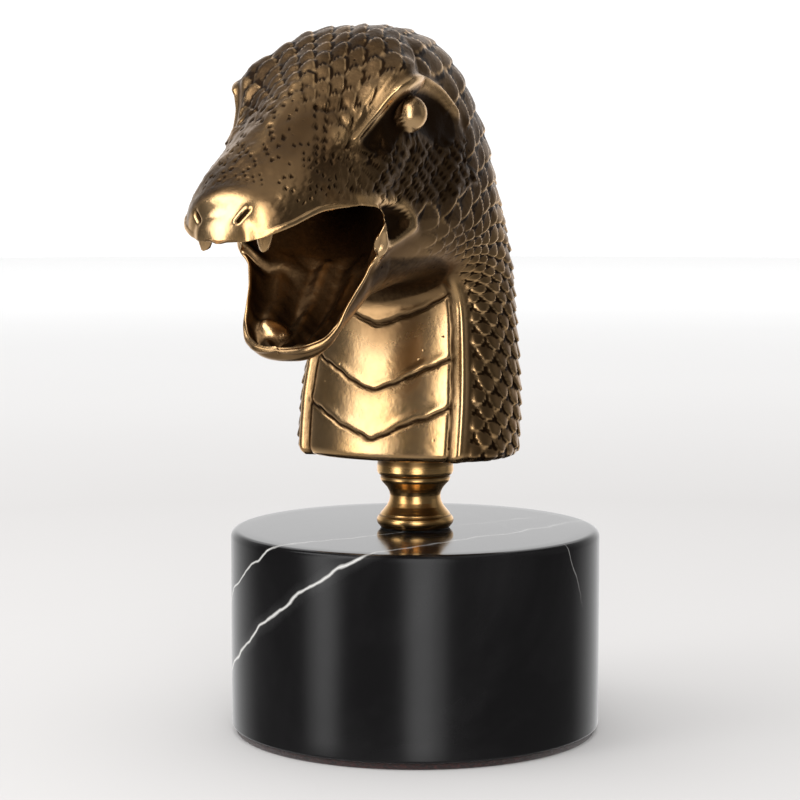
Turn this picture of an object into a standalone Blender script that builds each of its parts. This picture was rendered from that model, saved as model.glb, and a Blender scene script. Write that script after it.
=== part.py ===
# Bronze head of a snake on a small turned stem and a round marble base with a felt pad under it.
# Frame: metres, +Z up, origin on the table under the middle of the base.
# The snake looks along -Y and is mirror-symmetric about X = 0.
import bpy
import bmesh
import math
import mathutils
import numpy as np

MM = 0.001

# Driving sizes, millimetres
GAP = 0.3                     # air between touching pieces
FELT_R, FELT_T = 42.4, 1.4
BASE_R, BASE_TOP, BASE_BEVEL = 43.4, 47.9, 1.9
BASE_LOW_BEVEL = 0.5
STEM_TOP = 66.0 - GAP
NECK_BOTTOM = 66.0
SCALE_RISE = 0.55             # how far the tip of a scale stands out
SCALE_SINK = 0.20             # how far its root lies back
EYE_R = 4.2
EYE_SIDEWAYS = 17.9           # middle of the eye ball from the middle plane
BROW_THICK = 1.9              # half thickness of the brow ridge
BROW_STEPS = 11
STEM_STEPS, BASE_STEPS = 22, 48
# Stem outline below its top: radius, height
STEM_OUTLINE = (
    (8.7, STEM_TOP), (9.0, 65.2), (9.0, 61.6), (8.4, 60.9), (7.7, 60.6), (7.7, 60.1), (8.0, 59.6),
    (7.6, 58.9), (6.5, 57.5), (5.95, 56.1), (6.1, 54.9), (6.9, 53.7), (8.0, 52.6), (8.2, 51.9),
    (8.2, 51.5), (8.8, 51.1), (9.05, 50.5), (8.95, 49.5), (8.4, 48.8), (8.25, BASE_TOP + GAP))

# Lengthwise lines of the head: station, forward, height.
# Stations 0 to 1 run from the neck to the mouth corner, 1 to 2 along the jaws.
BACK_LINE = np.array([
    (0.00, -17.4, 66.0), (0.15, -18.8, 83.9), (0.30, -18.9, 102.0), (0.45, -17.2, 120.0),
    (0.60, -12.9, 137.4), (0.75, -4.1, 152.8), (0.88, 9.6, 162.4), (1.00, 27.2, 163.6),
    (1.20, 43.9, 157.7), (1.40, 55.6, 149.3), (1.60, 68.0, 139.1), (1.80, 78.4, 130.4),
    (1.93, 84.8, 124.9), (1.975, 86.7, 121.2), (2.00, 87.0, 117.2), (2.025, 86.7, 113.2)])
BELLY_LINE = np.array([
    (0.00, 23.2, 66.0), (0.15, 21.4, 80.0), (0.30, 18.6, 93.0), (0.45, 18.4, 101.5),
    (0.60, 21.5, 105.5), (0.75, 27.5, 106.0), (0.88, 33.0, 105.0), (1.00, 38.5, 103.0),
    (1.30, 45.0, 99.4), (1.60, 52.0, 95.0), (1.85, 59.0, 91.3), (1.96, 62.4, 92.6),
    (2.00, 63.0, 94.5), (2.04, 62.4, 96.4)])
# Side line and lips: station, half width, forward, height
SIDE_LINE = np.array([
    (0.00, 26.6, 3.8, 66.0), (0.15, 26.5, 1.8, 79.5), (0.30, 24.9, 0.6, 94.5), (0.45, 24.1, 2.4, 106.6),
    (0.60, 23.5, 8.9, 114.7), (0.75, 23.3, 17.9, 119.2), (0.88, 22.2, 30.3, 120.8),
    (1.00, 18.0, 46.6, 119.4), (1.10, 14.0, 58.0, 118.5)])
UPPER_LIP = np.array([
    (1.00, 18.0, 46.6, 119.4), (1.06, 18.2, 48.6, 122.4), (1.14, 18.6, 53.2, 124.3),
    (1.25, 18.7, 58.0, 124.8), (1.42, 17.9, 63.8, 124.7), (1.56, 16.6, 68.2, 124.1),
    (1.68, 15.0, 72.7, 122.9), (1.78, 13.0, 77.4, 120.8), (1.86, 11.0, 80.7, 119.4),
    (1.93, 8.4, 83.9, 118.0), (1.975, 5.0, 86.1, 117.3), (2.00, 0.0, 87.0, 117.2),
    (2.025, -5.0, 86.1, 117.3)])
LOWER_LIP = np.array([
    (1.00, 18.0, 46.6, 119.4), (1.08, 17.4, 47.6, 116.6), (1.20, 15.8, 49.4, 112.8),
    (1.35, 14.3, 50.6, 109.8), (1.50, 13.3, 52.2, 107.0), (1.65, 12.2, 55.0, 103.2),
    (1.80, 11.0, 57.9, 98.9), (1.90, 8.6, 60.2, 96.2), (1.96, 4.9, 62.3, 94.9),
    (2.00, 0.0, 63.0, 94.5), (2.04, -4.9, 62.3, 94.9)])
SQUARENESS = np.array([
    (0.00, 2.0), (0.40, 1.87), (0.75, 2.24), (0.90, 2.75), (1.02, 3.2), (1.12, 3.3), (1.22, 2.1),
    (1.33, 1.68), (1.42, 1.62), (1.55, 1.7), (1.70, 2.0), (2.00, 2.26), (2.10, 2.2)])
SHOULDER = (22.0, 41.0, 147.0)  # middle of the swelling that carries the brow
CHEEK = (20.0, 47.0, 132.0)    # middle of the swelling above the mouth corner
PALATE_LINE = np.array([
    (1.00, 41.5, 129.5), (1.30, 57.0, 133.5), (1.60, 69.0, 130.0), (1.85, 78.5, 123.0),
    (2.00, 87.0, 117.2)])
FLOOR_LINE = np.array([
    (1.00, 40.5, 112.0), (1.30, 46.4, 102.8), (1.60, 53.0, 97.8), (1.85, 59.0, 95.0),
    (2.00, 63.0, 94.5)])
THROAT = (0.0, 26.0, 127.5)
EYE_AT = (39.2, 143.8)        # middle of the eye: forward, height
BROW = np.array([
    (12.5, 57.0, 141.1), (14.2, 52.2, 145.0), (16.4, 48.8, 147.8), (19.4, 45.3, 150.3),
    (20.6, 41.0, 151.2), (19.9, 36.0, 150.8), (19.2, 30.5, 149.3), (19.3, 25.0, 146.6), (20.4, 20.0, 142.5)])
SOCKET = BROW[1:-1] - np.array([0.0, 0.0, 6.2])
PIT_AT = (43.0, 120.7)        # hollow behind the mouth corner: forward, height
NOSTRIL = np.array([(3.3, 85.4, 121.4), (5.6, 82.8, 124.4)])
FANG_AT = (7.0, 80.5)         # fangs: sideways, forward
FANG_DROP = 7.5               # from the palate down
TONGUE_AT = 57.5              # tongue tip, forward
FOLD_RISE = 0.7               # long folds of the mouth floor
# Rows and columns of the head's faces
REAR_ROWS, SNOUT_ROWS, JAW_ROWS = 33, 20, 9
CROWN_COLUMNS = 38
PALATE_COLUMNS, FLOOR_COLUMNS = 14, 14
GROOVE_ROWS = (5, 9, 17)
# Belly rows dip towards the middle line by this much of a station
DIP = ((0.0, 0.147, 0.265, 0.50, 0.80, 1.0), (0.0, 0.100, 0.100, 0.158, 0.03, 0.0))
RIDGE_COLUMNS = (0.575, 0.525, 0.475, 0.43)


def rail(t, rows):
    """Smooth line through the rows of a table: cubic pieces, slopes taken from neighbouring rows."""
    key = rows[:, 0]
    val = rows[:, 1:]
    slope = np.gradient(val, key, axis=0)
    t = np.asarray(t, float)
    i = np.clip(np.searchsorted(key, t, side="right") - 1, 0, len(key) - 2)
    step = key[i + 1] - key[i]
    s = ((t - key[i]) / step)[..., None]
    step = step[..., None]
    return ((1 + 2 * s) * (1 - s) ** 2 * val[i] + s * (1 - s) ** 2 * step * slope[i]
            + s * s * (3 - 2 * s) * val[i + 1] + s * s * (s - 1) * step * slope[i + 1])


def section(side, mid, power, turn):
    """Half section from right lip over the middle to left lip: a superellipse in polar form."""
    sn, cs = np.sin(turn), np.cos(turn)
    r = (np.abs(sn) ** power + np.abs(cs) ** power) ** (-1.0 / power)
    wide = side[..., 0] * sn * r
    rise = cs * r
    fwd = side[..., 1] + (mid[..., 0] - side[..., 1]) * rise
    up = side[..., 2] + (mid[..., 1] - side[..., 2]) * rise
    return np.stack([wide, fwd, up], -1)


def side_rail(u, lip):
    return np.where((u <= 1.0)[..., None], rail(np.minimum(u, 1.0), SIDE_LINE), rail(np.maximum(u, 1.0), lip))


def normals(grid, sign):
    """Outward unit normals of a grid whose rows run forward and whose columns run right to left."""
    along = np.gradient(grid, axis=0)
    across = np.gradient(grid, axis=1)
    n = np.cross(along, across) * sign
    return n / np.maximum(np.linalg.norm(n, axis=-1, keepdims=True), 1e-9)


def ease(x, low, high):
    """0 below low, 1 above high, smooth between."""
    s = np.clip((x - low) / (high - low), 0.0, 1.0)
    return s * s * (3 - 2 * s)


def hump(x, width):
    return np.exp(-(x / width) ** 2)


def off_line(p, line):
    """Distance of every point to a line of short straight pieces."""
    best = np.full(p.shape[:-1], 1e9)
    for a, b in zip(line[:-1], line[1:]):
        d = b - a
        s = np.clip(((p - a) @ d) / (d @ d), 0.0, 1.0)
        best = np.minimum(best, np.linalg.norm(p - a - s[..., None] * d, axis=-1))
    return best


def mirrored(p):
    """The same points with both flanks folded onto the left one."""
    return p * np.where(p[..., :1] < 0.0, np.array([-1.0, 1.0, 1.0]), 1.0)


def crown_form(u, t):
    """Upper half of the skin before its relief; u and t are full grids, t from -1 to 1 across."""
    side = side_rail(u, UPPER_LIP)
    mid = rail(u, BACK_LINE)
    power = rail(u, SQUARENESS)[..., 0]
    p = section(side, mid, power, t * math.pi / 2)
    q = mirrored(p) - np.array(SHOULDER)
    near = hump(q[..., 0], 9.0) * hump(q[..., 1], 10.0) * hump(q[..., 2], 9.0)
    p[..., 0] += 4.9 * near * np.sign(p[..., 0])
    p[..., 2] += 6.2 * near
    q = mirrored(p) - np.array(CHEEK)
    near = hump(q[..., 0], 12.0) * hump(q[..., 1], 8.0) * hump(q[..., 2], 6.5)
    p[..., 0] += 2.0 * near * np.sign(p[..., 0])
    return p


def belly_form(u, t):
    """Lower half of the skin before its relief; u and t are full grids."""
    side = side_rail(u, LOWER_LIP)
    return section(side, rail(u, BELLY_LINE), 2.25, t * math.pi / 2)


def flank_relief(p):
    """Eye socket, step under the brow, hollow behind the mouth, raised cheek edge: distance outwards."""
    q = mirrored(p)
    wide, fwd, up = q[..., 0], q[..., 1], q[..., 2]
    lift = -3.2 * hump(off_line(q, SOCKET), 4.6)
    lift = lift + 1.0 * hump(off_line(q, BROW), 2.2)
    pit = np.hypot((fwd - PIT_AT[0]) / 5.2, (up - PIT_AT[1]) / 3.4)
    outer = ease(wide, 15.0, 17.5)
    lift = lift + outer * (-2.3 * hump(pit, 0.8) + 0.7 * hump(pit - 1.45, 0.35))
    edge = 15.6 + 0.9 * np.sin(up * 0.62) + 0.5 * np.sin(up * 1.7)
    plate = ease(fwd, edge - 1.0, edge + 0.6) * ease(up, 116.0, 122.0) * (1 - ease(up, 138.0, 144.0))
    return lift + 0.8 * plate * ease(wide, 17.0, 20.0) * (1 - ease(fwd, 24.0, 34.0))


def scale_share(p, u, t):
    """How strongly scales stand out on the upper half, 0 to 1."""
    q = mirrored(p)
    share = 1.0 - 0.72 * ease(u, 1.12, 1.40)
    share = share * (1 - ease(u, 1.82, 1.92))
    share = share * (1 - ease(np.abs(t), 0.86, 0.95) * ease(u, 0.84, 0.94))
    eye = np.hypot((q[..., 1] - EYE_AT[0]) / 1.2, q[..., 2] - EYE_AT[1])
    share = share * np.maximum(ease(eye, 6.0, 9.0), 1 - ease(q[..., 0], 10.0, 14.0))
    share = share * ease(off_line(q, BROW), 3.0, 6.0)
    cheek = ease(np.abs(t), 0.62, 0.72) * ease(u, 0.76, 0.86)
    return share * (1 - 0.5 * cheek)


def chequer(rows, columns, shift=0):
    i, j = np.meshgrid(np.arange(rows), np.arange(columns) + shift, indexing="ij")
    return (i + j) % 2 == 0


def scaled(p, n, share, raised):
    """Stand every second point out and pull it back towards the tail; let the others lie in."""
    back = np.zeros_like(p)
    back[1:] = p[:-1] - p[1:]
    lift = np.where(raised, SCALE_RISE, -SCALE_SINK) * share
    return p + n * lift[..., None] + back * (np.where(raised, 0.5, 0.0) * share)[..., None]


def belly_columns():
    edge = np.linspace(-1.0, -RIDGE_COLUMNS[0], 10)[:-1]
    ridge = -np.array(RIDGE_COLUMNS)
    middle = np.linspace(-RIDGE_COLUMNS[3], RIDGE_COLUMNS[3], 9)[1:-1]
    return np.concatenate([edge, ridge, middle, -ridge[::-1], -edge[::-1]])


def even_stations(line, count, crowd):
    """Stations from 1 to 2 at even steps along a lip, the first ones closer together by crowd."""
    w = np.linspace(1.0, 2.0, 400)
    run = np.concatenate([[0.0], np.cumsum(np.linalg.norm(np.diff(rail(w, line), axis=0), axis=-1))])
    share = np.linspace(0.0, 1.0, count + 1)
    share = share - crowd * np.sin(math.pi * share) / math.pi
    return np.interp(share * run[-1], run, w)


def meet(first, second, rows):
    """Give both grids the mean direction along their shared side columns."""
    for col in (0, -1):
        both = first[:rows, col] + second[:rows, col]
        both = both / np.linalg.norm(both, axis=-1, keepdims=True)
        first[:rows, col] = both
        second[:rows, col] = both


def head_grids():
    """Four grids of points: crown, belly and lower jaw, palate, floor of the mouth."""
    rear = np.linspace(0.0, 1.0, REAR_ROWS + 1)
    tip = even_stations(UPPER_LIP, SNOUT_ROWS, 0.35)
    jaw = even_stations(LOWER_LIP, JAW_ROWS, 0.0)
    tc = np.linspace(-1.0, 1.0, CROWN_COLUMNS + 1)
    tb = belly_columns()
    uc, tc2 = np.meshgrid(np.concatenate([rear, tip[1:]]), tc, indexing="ij")
    # Columns draw together where the brow and the eye need them
    draw = 0.45 * ease(uc, 0.70, 0.95) * (1 - ease(uc, 1.35, 1.60)) * hump(np.abs(tc2) - 0.62, 0.24)
    tc2 = tc2 + draw * (0.62 * np.sign(tc2) - tc2)
    crown = crown_form(uc, tc2)
    # Belly rows: pulled close to each groove and dipping towards the middle
    ub = np.concatenate([rear, jaw[1:]])
    pulled = ub.copy()
    for g in GROOVE_ROWS:
        pulled[g - 1] = ub[g] - 0.45 * (ub[g] - ub[g - 1])
        pulled[g + 1] = ub[g] + 0.45 * (ub[g + 1] - ub[g])
    inside = np.abs(tb) <= RIDGE_COLUMNS[3] + 1e-6
    station = np.where(inside[None], pulled[:, None], ub[:, None])
    depth = np.maximum(0.0, 1.0 - np.abs(tb) / RIDGE_COLUMNS[1])[None]
    station = station - np.interp(station, DIP[0], DIP[1]) * depth
    ub2, tb2 = np.meshgrid(ub, tb, indexing="ij")
    belly = belly_form(station, tb2)
    nc = normals(crown, -1.0)
    nb = normals(belly, 1.0)
    meet(nc, nb, REAR_ROWS + 1)
    nc[-1] = 0.0
    nb[-1] = 0.0
    # Relief of the crown
    lift = flank_relief(crown) * (1 - ease(uc, 1.55, 1.65))
    lift = lift - 1.3 * hump(off_line(mirrored(crown), NOSTRIL), 1.0) * ease(uc, 1.7, 1.8)
    share_c = scale_share(crown, uc, tc2)
    share_c[0] = 0.0
    crown = scaled(crown + nc * lift[..., None], nc, share_c, chequer(*uc.shape))
    # Relief of the belly side
    a2 = np.abs(tb2)
    lift = flank_relief(belly) * (ub2 <= 1.0)
    ridge = np.select([np.isclose(a2, k) for k in RIDGE_COLUMNS], [0.35, 1.2, 0.5, -0.55], 0.0)
    lift = lift + ridge * (1 - ease(ub2, 0.50, 0.64))
    for g in GROOVE_ROWS:
        lift[g, inside] -= 0.75
    share_b = ease(a2, RIDGE_COLUMNS[0], RIDGE_COLUMNS[0] + 0.06) * (1 - ease(ub2, 0.80, 0.90))
    share_b = share_b * (1 - ease(ub2, 0.55, 0.65) * (1 - ease(a2, 0.66, 0.76)))
    share_b[:, [0, -1]] = 0.0
    share_b[0] = 0.0
    belly = scaled(belly + nb * lift[..., None], nb, share_b, chequer(*ub2.shape))
    belly[:REAR_ROWS + 1, 0] = crown[:REAR_ROWS + 1, 0]
    belly[:REAR_ROWS + 1, -1] = crown[:REAR_ROWS + 1, -1]
    crown[-1] = crown[-1, CROWN_COLUMNS // 2]
    belly[-1] = belly[-1, len(tb) // 2]
    # Inside of the mouth: a flat lip, then a vault
    palate = mouth_sheet(tip, PALATE_COLUMNS, crown[REAR_ROWS:], PALATE_LINE)
    floor = mouth_sheet(jaw, FLOOR_COLUMNS, belly[REAR_ROWS:], FLOOR_LINE)
    fang = hump(np.abs(palate[..., 0]) - FANG_AT[0], 1.6) * hump(palate[..., 1] - FANG_AT[1], 1.8)
    palate[1:-1, 1:-1, 2] -= FANG_DROP * fang[1:-1, 1:-1]
    folds = np.cos(np.linspace(-1.0, 1.0, FLOOR_COLUMNS + 1) * 3.5 * math.pi) * FOLD_RISE
    floor[1:-2, 1:-1, 2] += folds[None, 1:-1]
    knob = hump(floor[..., 0], 3.0) * hump(floor[..., 1] - TONGUE_AT, 2.4)
    floor[1:-1, 1:-1, 2] += 3.0 * knob[1:-1, 1:-1]
    return crown, belly, palate, floor


def mouth_sheet(w, columns, skin, line):
    """Vault spanned between the two lips of a skin grid, its middle on the given line."""
    right, left = skin[:, :1], skin[:, -1:]
    t = np.linspace(-1.0, 1.0, columns + 1)
    s = (t[None, :, None] + 1) / 2
    sheet = right * (1 - s) + left * s
    mid = rail(w, line)[:, None]
    vault = (1 - np.abs(t) ** 2.4)[None, :, None]
    sheet[..., 1:] += (mid - ((right + left) / 2)[..., 1:]) * vault
    sheet[-1] = skin[-1, 0]
    sheet[:, 0] = skin[:, 0]
    sheet[:, -1] = skin[:, -1]
    return sheet


def head_mesh():
    """Points and triangles of the closed head."""
    crown, belly, palate, floor = head_grids()
    points = []
    count = 0

    def add(block):
        nonlocal count
        flat = block.reshape(-1, 3)
        points.append(flat)
        index = np.arange(count, count + len(flat)).reshape(block.shape[:-1])
        count += len(flat)
        return index

    ic = add(crown)
    ib = add(belly)
    ib[:REAR_ROWS + 1, 0] = ic[:REAR_ROWS + 1, 0]
    ib[:REAR_ROWS + 1, -1] = ic[:REAR_ROWS + 1, -1]
    ic[-1] = ic[-1, 0]
    ib[-1] = ib[-1, 0]
    ip = add(palate)
    ip[:, 0] = ic[REAR_ROWS:, 0]
    ip[:, -1] = ic[REAR_ROWS:, -1]
    ip[-1] = ic[-1, 0]
    jf = add(floor)
    jf[:, 0] = ib[REAR_ROWS:, 0]
    jf[:, -1] = ib[REAR_ROWS:, -1]
    jf[-1] = ib[-1, 0]
    tris = []

    def split(index, raised, flip):
        a, b = index[:-1, :-1], index[1:, :-1]
        c, d = index[1:, 1:], index[:-1, 1:]
        even = raised[:-1, :-1]
        one = np.where(even[..., None], np.stack([a, b, d], -1), np.stack([a, b, c], -1))
        two = np.where(even[..., None], np.stack([b, c, d], -1), np.stack([a, c, d], -1))
        both = np.concatenate([one.reshape(-1, 3), two.reshape(-1, 3)])
        tris.append(both[:, ::-1] if flip else both)

    split(ic, chequer(*ic.shape), False)
    split(ib, chequer(*ib.shape), True)
    split(ip, chequer(*ip.shape), True)
    split(jf, chequer(*jf.shape), False)
    # Throat: rings shrinking to one point
    ring = np.concatenate([ip[0], jf[0][::-1][1:-1]])
    loop = np.concatenate(points)[ring]
    throat = np.array(THROAT)
    for keep in (0.78, 0.45):
        inner = add(throat + (loop - throat) * keep)
        strip = np.stack([np.append(ring, ring[0]), np.append(inner, inner[0])])
        split(strip, chequer(*strip.shape), False)
        ring = inner
    end = add(throat[None])[0]
    tris.append(np.stack([ring, np.roll(ring, -1), np.full(len(ring), end)], -1))
    # Flat underside of the neck
    rim = np.concatenate([ic[0], ib[0][::-1][1:-1]])
    centre = add(np.array([[0.0, 2.5, NECK_BOTTOM]]))[0]
    tris.append(np.stack([rim, np.roll(rim, -1), np.full(len(rim), centre)], -1))
    pts = np.concatenate(points)
    faces = np.concatenate(tris)
    used, back = np.unique(faces, return_inverse=True)
    faces = back.reshape(faces.shape)
    bad = (faces[:, 0] == faces[:, 1]) | (faces[:, 1] == faces[:, 2]) | (faces[:, 2] == faces[:, 0])
    return pts[used], faces[~bad]


def brow_mesh(sign):
    """Points and faces of one brow ridge: a tapered tube of six sides along the brow line."""
    s = np.linspace(0.0, len(BROW) - 1.0, BROW_STEPS)
    keyed = np.concatenate([np.arange(len(BROW))[:, None], BROW], axis=1)
    path = rail(s, keyed)
    along = np.gradient(path, axis=0)
    along = along / np.linalg.norm(along, axis=-1, keepdims=True)
    out = np.array([1.0, 0.0, 0.0]) - along * along[:, :1]
    out = out / np.linalg.norm(out, axis=-1, keepdims=True)
    across = np.cross(along, out)
    thick = BROW_THICK * (0.25 + 0.75 * np.sin(math.pi * np.linspace(0.04, 0.93, BROW_STEPS)) ** 0.6)
    turn = np.arange(6) * math.pi / 3
    ring = out[:, None] * np.cos(turn)[None, :, None] + across[:, None] * np.sin(turn)[None, :, None]
    tube = path[:, None] + out[:, None] * 0.1 + ring * thick[:, None, None]
    tube[..., 0] *= sign
    index = np.arange(tube.shape[0] * 6).reshape(-1, 6)
    faces = []
    for a, b in zip(index[:-1], index[1:]):
        faces.extend([a[k], a[(k + 1) % 6], b[(k + 1) % 6], b[k]] for k in range(6))
    faces.append(list(index[0]))
    faces.append(list(index[-1][::-1]))
    return tube.reshape(-1, 3), faces


# Scene

for old in list(bpy.data.objects):
    bpy.data.objects.remove(old, do_unlink=True)

model = bpy.data.collections.new("snake_figure")
cutters = bpy.data.collections.new("joined_to_head")
bpy.context.scene.collection.children.link(model)
bpy.context.scene.collection.children.link(cutters)


def material(name, colour, metallic, rough):
    mat = bpy.data.materials.new(name)
    mat.use_nodes = True
    shader = mat.node_tree.nodes["Principled BSDF"]
    shader.inputs["Base Color"].default_value = (*colour, 1.0)
    shader.inputs["Metallic"].default_value = metallic
    shader.inputs["Roughness"].default_value = rough
    return mat


def world(points):
    """Head millimetres (left, forward, up) to metres with the snake looking along -Y."""
    return np.stack([points[:, 0], -points[:, 1], points[:, 2]], -1) * MM


def mesh_object(name, verts, faces, mat, group):
    mesh = bpy.data.meshes.new(name)
    mesh.from_pydata([tuple(v) for v in verts], [], [tuple(int(k) for k in f) for f in faces])
    mesh.update()
    obj = bpy.data.objects.new(name, mesh)
    group.objects.link(obj)
    mesh.materials.append(mat)
    return obj


def outward(obj):
    bm = bmesh.new()
    bm.from_mesh(obj.data)
    bmesh.ops.recalc_face_normals(bm, faces=bm.faces)
    bm.to_mesh(obj.data)
    bm.free()
    obj.data.update()


def turned(name, outline, steps, mat):
    """Solid of revolution: the outline runs down the outer side from the top middle to the bottom middle."""
    obj = mesh_object(name, [(r * MM, 0.0, z * MM) for r, z in outline], [], mat, model)
    obj.data.edges.add(len(outline) - 1)
    for k, edge in enumerate(obj.data.edges):
        edge.vertices = (k, k + 1)
    turn = obj.modifiers.new("turn", "SCREW")
    turn.steps = steps
    turn.render_steps = steps
    turn.use_merge_vertices = True
    turn.merge_threshold = 0.00001
    return obj


def disc(name, radius, low, high, steps, mat, rim_top=0.0, rim_low=0.0):
    """Upright cylinder standing on height low, its two rims rounded if asked."""
    mesh = bpy.data.meshes.new(name)
    bm = bmesh.new()
    bmesh.ops.create_cone(bm, cap_ends=True, segments=steps, radius1=radius * MM, radius2=radius * MM,
                          depth=(high - low) * MM)
    for rim, sign, cuts in ((rim_top, 1, 3), (rim_low, -1, 1)):
        if rim:
            edges = [e for e in bm.edges if all(v.co.z * sign > 0.4 * (high - low) * MM for v in e.verts)]
            bmesh.ops.bevel(bm, geom=edges, offset=rim * MM, segments=cuts, profile=0.5, affect="EDGES")
    bm.to_mesh(mesh)
    bm.free()
    obj = bpy.data.objects.new(name, mesh)
    obj.location.z = (low + high) / 2 * MM
    model.objects.link(obj)
    mesh.materials.append(mat)
    mesh.shade_smooth()
    mesh.set_sharp_from_angle(angle=math.radians(40))
    return obj


bronze = material("bronze", (0.36, 0.25, 0.11), 1.0, 0.32)
brass = material("brass", (0.72, 0.52, 0.22), 1.0, 0.22)
marble = material("marble", (0.012, 0.012, 0.014), 0.0, 0.08)
felt = material("felt", (0.10, 0.012, 0.012), 0.0, 0.95)

points, faces = head_mesh()
head = mesh_object("snake_head", world(points), faces, bronze, model)
outward(head)
head.data.shade_flat()

# Brow ridges and eye balls, joined to the head
for side, sign in (("left", 1.0), ("right", -1.0)):
    points, faces = brow_mesh(sign)
    ridge = mesh_object("brow_" + side, world(points), faces, bronze, cutters)
    outward(ridge)
    mesh = bpy.data.meshes.new("eye_" + side)
    bm = bmesh.new()
    bmesh.ops.create_uvsphere(bm, u_segments=12, v_segments=6, radius=EYE_R * MM)
    bmesh.ops.rotate(bm, verts=bm.verts, matrix=mathutils.Matrix.Rotation(math.pi / 2, 3, "Y"))
    bmesh.ops.translate(bm, verts=bm.verts,
                        vec=(EYE_SIDEWAYS * MM * sign, -EYE_AT[0] * MM, EYE_AT[1] * MM))
    bm.to_mesh(mesh)
    bm.free()
    mesh.materials.append(bronze)
    eye = bpy.data.objects.new("eye_" + side, mesh)
    cutters.objects.link(eye)
    for extra in (ridge, eye):
        extra.hide_render = True
        extra.display_type = "WIRE"
join = head.modifiers.new("join", "BOOLEAN")
join.operation = "UNION"
join.solver = "EXACT"
join.operand_type = "COLLECTION"
join.collection = cutters

stem = turned("brass_stem", [(0.0, STEM_TOP)] + list(STEM_OUTLINE) + [(0.0, BASE_TOP + GAP)], STEM_STEPS, brass)
base = disc("marble_base", BASE_R, FELT_T + GAP, BASE_TOP, BASE_STEPS, marble, BASE_BEVEL, BASE_LOW_BEVEL)
pad = disc("felt_pad", FELT_R, 0.0, FELT_T, BASE_STEPS, felt)
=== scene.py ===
import math

import bpy
import numpy as np
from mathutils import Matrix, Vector


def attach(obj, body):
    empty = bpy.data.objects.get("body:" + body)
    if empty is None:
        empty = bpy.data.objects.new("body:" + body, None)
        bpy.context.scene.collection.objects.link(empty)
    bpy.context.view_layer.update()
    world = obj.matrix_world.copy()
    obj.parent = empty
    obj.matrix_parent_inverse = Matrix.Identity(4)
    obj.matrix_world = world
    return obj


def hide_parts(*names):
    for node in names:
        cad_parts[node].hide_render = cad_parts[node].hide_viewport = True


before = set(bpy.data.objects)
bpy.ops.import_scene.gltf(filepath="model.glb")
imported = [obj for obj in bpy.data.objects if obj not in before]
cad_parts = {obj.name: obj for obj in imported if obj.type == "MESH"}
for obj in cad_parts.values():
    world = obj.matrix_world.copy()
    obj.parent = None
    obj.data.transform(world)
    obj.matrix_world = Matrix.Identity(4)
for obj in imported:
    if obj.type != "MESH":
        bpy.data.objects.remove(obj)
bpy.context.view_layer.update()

MM = 0.001

# Sizes shared with the solids, millimetres: left, forward, up
BASE_R, BASE_TOP, BASE_BEVEL = 43.4, 47.9, 1.9
FELT_R, FELT_T, GAP = 42.4, 1.4, 0.3
EYE_R, EYE_SIDEWAYS = 4.1, 18.9
EYE_AT = (39.3, 143.9)
SHOULDER = np.array((22.0, 41.0, 147.0))
CHEEK = np.array((20.0, 47.0, 132.0))
CHEEK_REAR = np.array((19.5, 38.5, 135.0))
THROAT = np.array((0.0, 26.0, 127.5))
FANG_AT, FANG_R, FANG_LONG = (7.0, 79.4), 2.7, 5.9
TONGUE_AT, TONGUE_R, TONGUE_HIGH = (-4.8, 55.8), (3.7, 2.3), 2.3
NECK_FOOT = np.array((0.0, 2.5, 66.0))
TEMPLE = np.array((14.5, 29.0, 156.0))

STEM_OUTLINE = np.array([
    (0.0, 65.7), (8.6, 65.7), (8.8, 64.0), (9.0, 62.5), (9.05, 61.5), (8.8, 60.8), (8.2, 60.4),
    (8.15, 60.1), (8.3, 59.7), (8.1, 59.1), (7.5, 58.5), (6.7, 57.6), (6.2, 56.7), (6.0, 55.9),
    (6.0, 55.1), (6.2, 54.2), (6.7, 53.2), (7.4, 52.3), (8.1, 51.5), (8.25, 51.1), (8.7, 50.7),
    (9.05, 50.1), (9.05, 49.5), (8.8, 48.9), (8.3, 48.4), (8.2, 48.2), (0.0, 48.2)])
BACK_LINE = np.array([
    (0.00, -17.4, 66.0), (0.15, -18.8, 83.9), (0.30, -18.9, 102.0), (0.45, -17.2, 120.0),
    (0.60, -12.9, 137.4), (0.75, -4.1, 152.8), (0.88, 9.6, 162.4), (1.00, 27.2, 163.6),
    (1.20, 43.9, 157.7), (1.40, 55.6, 149.3), (1.60, 68.0, 139.1), (1.80, 78.4, 130.4),
    (1.93, 84.8, 124.9), (1.975, 86.7, 121.2), (2.00, 87.0, 117.2), (2.025, 86.7, 113.2)])
BELLY_LINE = np.array([
    (0.00, 23.2, 66.0), (0.15, 21.4, 80.0), (0.30, 18.6, 93.0), (0.45, 18.4, 101.5),
    (0.60, 21.5, 105.5), (0.75, 27.5, 106.0), (0.88, 33.0, 105.0), (1.00, 38.5, 103.0),
    (1.30, 45.0, 99.4), (1.60, 52.0, 95.0), (1.85, 59.0, 91.3), (1.96, 62.4, 92.6),
    (2.00, 63.0, 94.5), (2.04, 62.4, 96.4)])
SIDE_LINE = np.array([
    (0.00, 26.6, 3.8, 66.0), (0.15, 26.5, 1.8, 79.5), (0.30, 24.9, 0.6, 94.5), (0.45, 24.1, 2.4, 106.6),
    (0.60, 23.5, 8.9, 114.7), (0.75, 23.3, 17.9, 119.2), (0.88, 22.2, 30.3, 120.8),
    (1.00, 18.0, 46.6, 119.4), (1.10, 14.0, 58.0, 118.5)])
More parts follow.
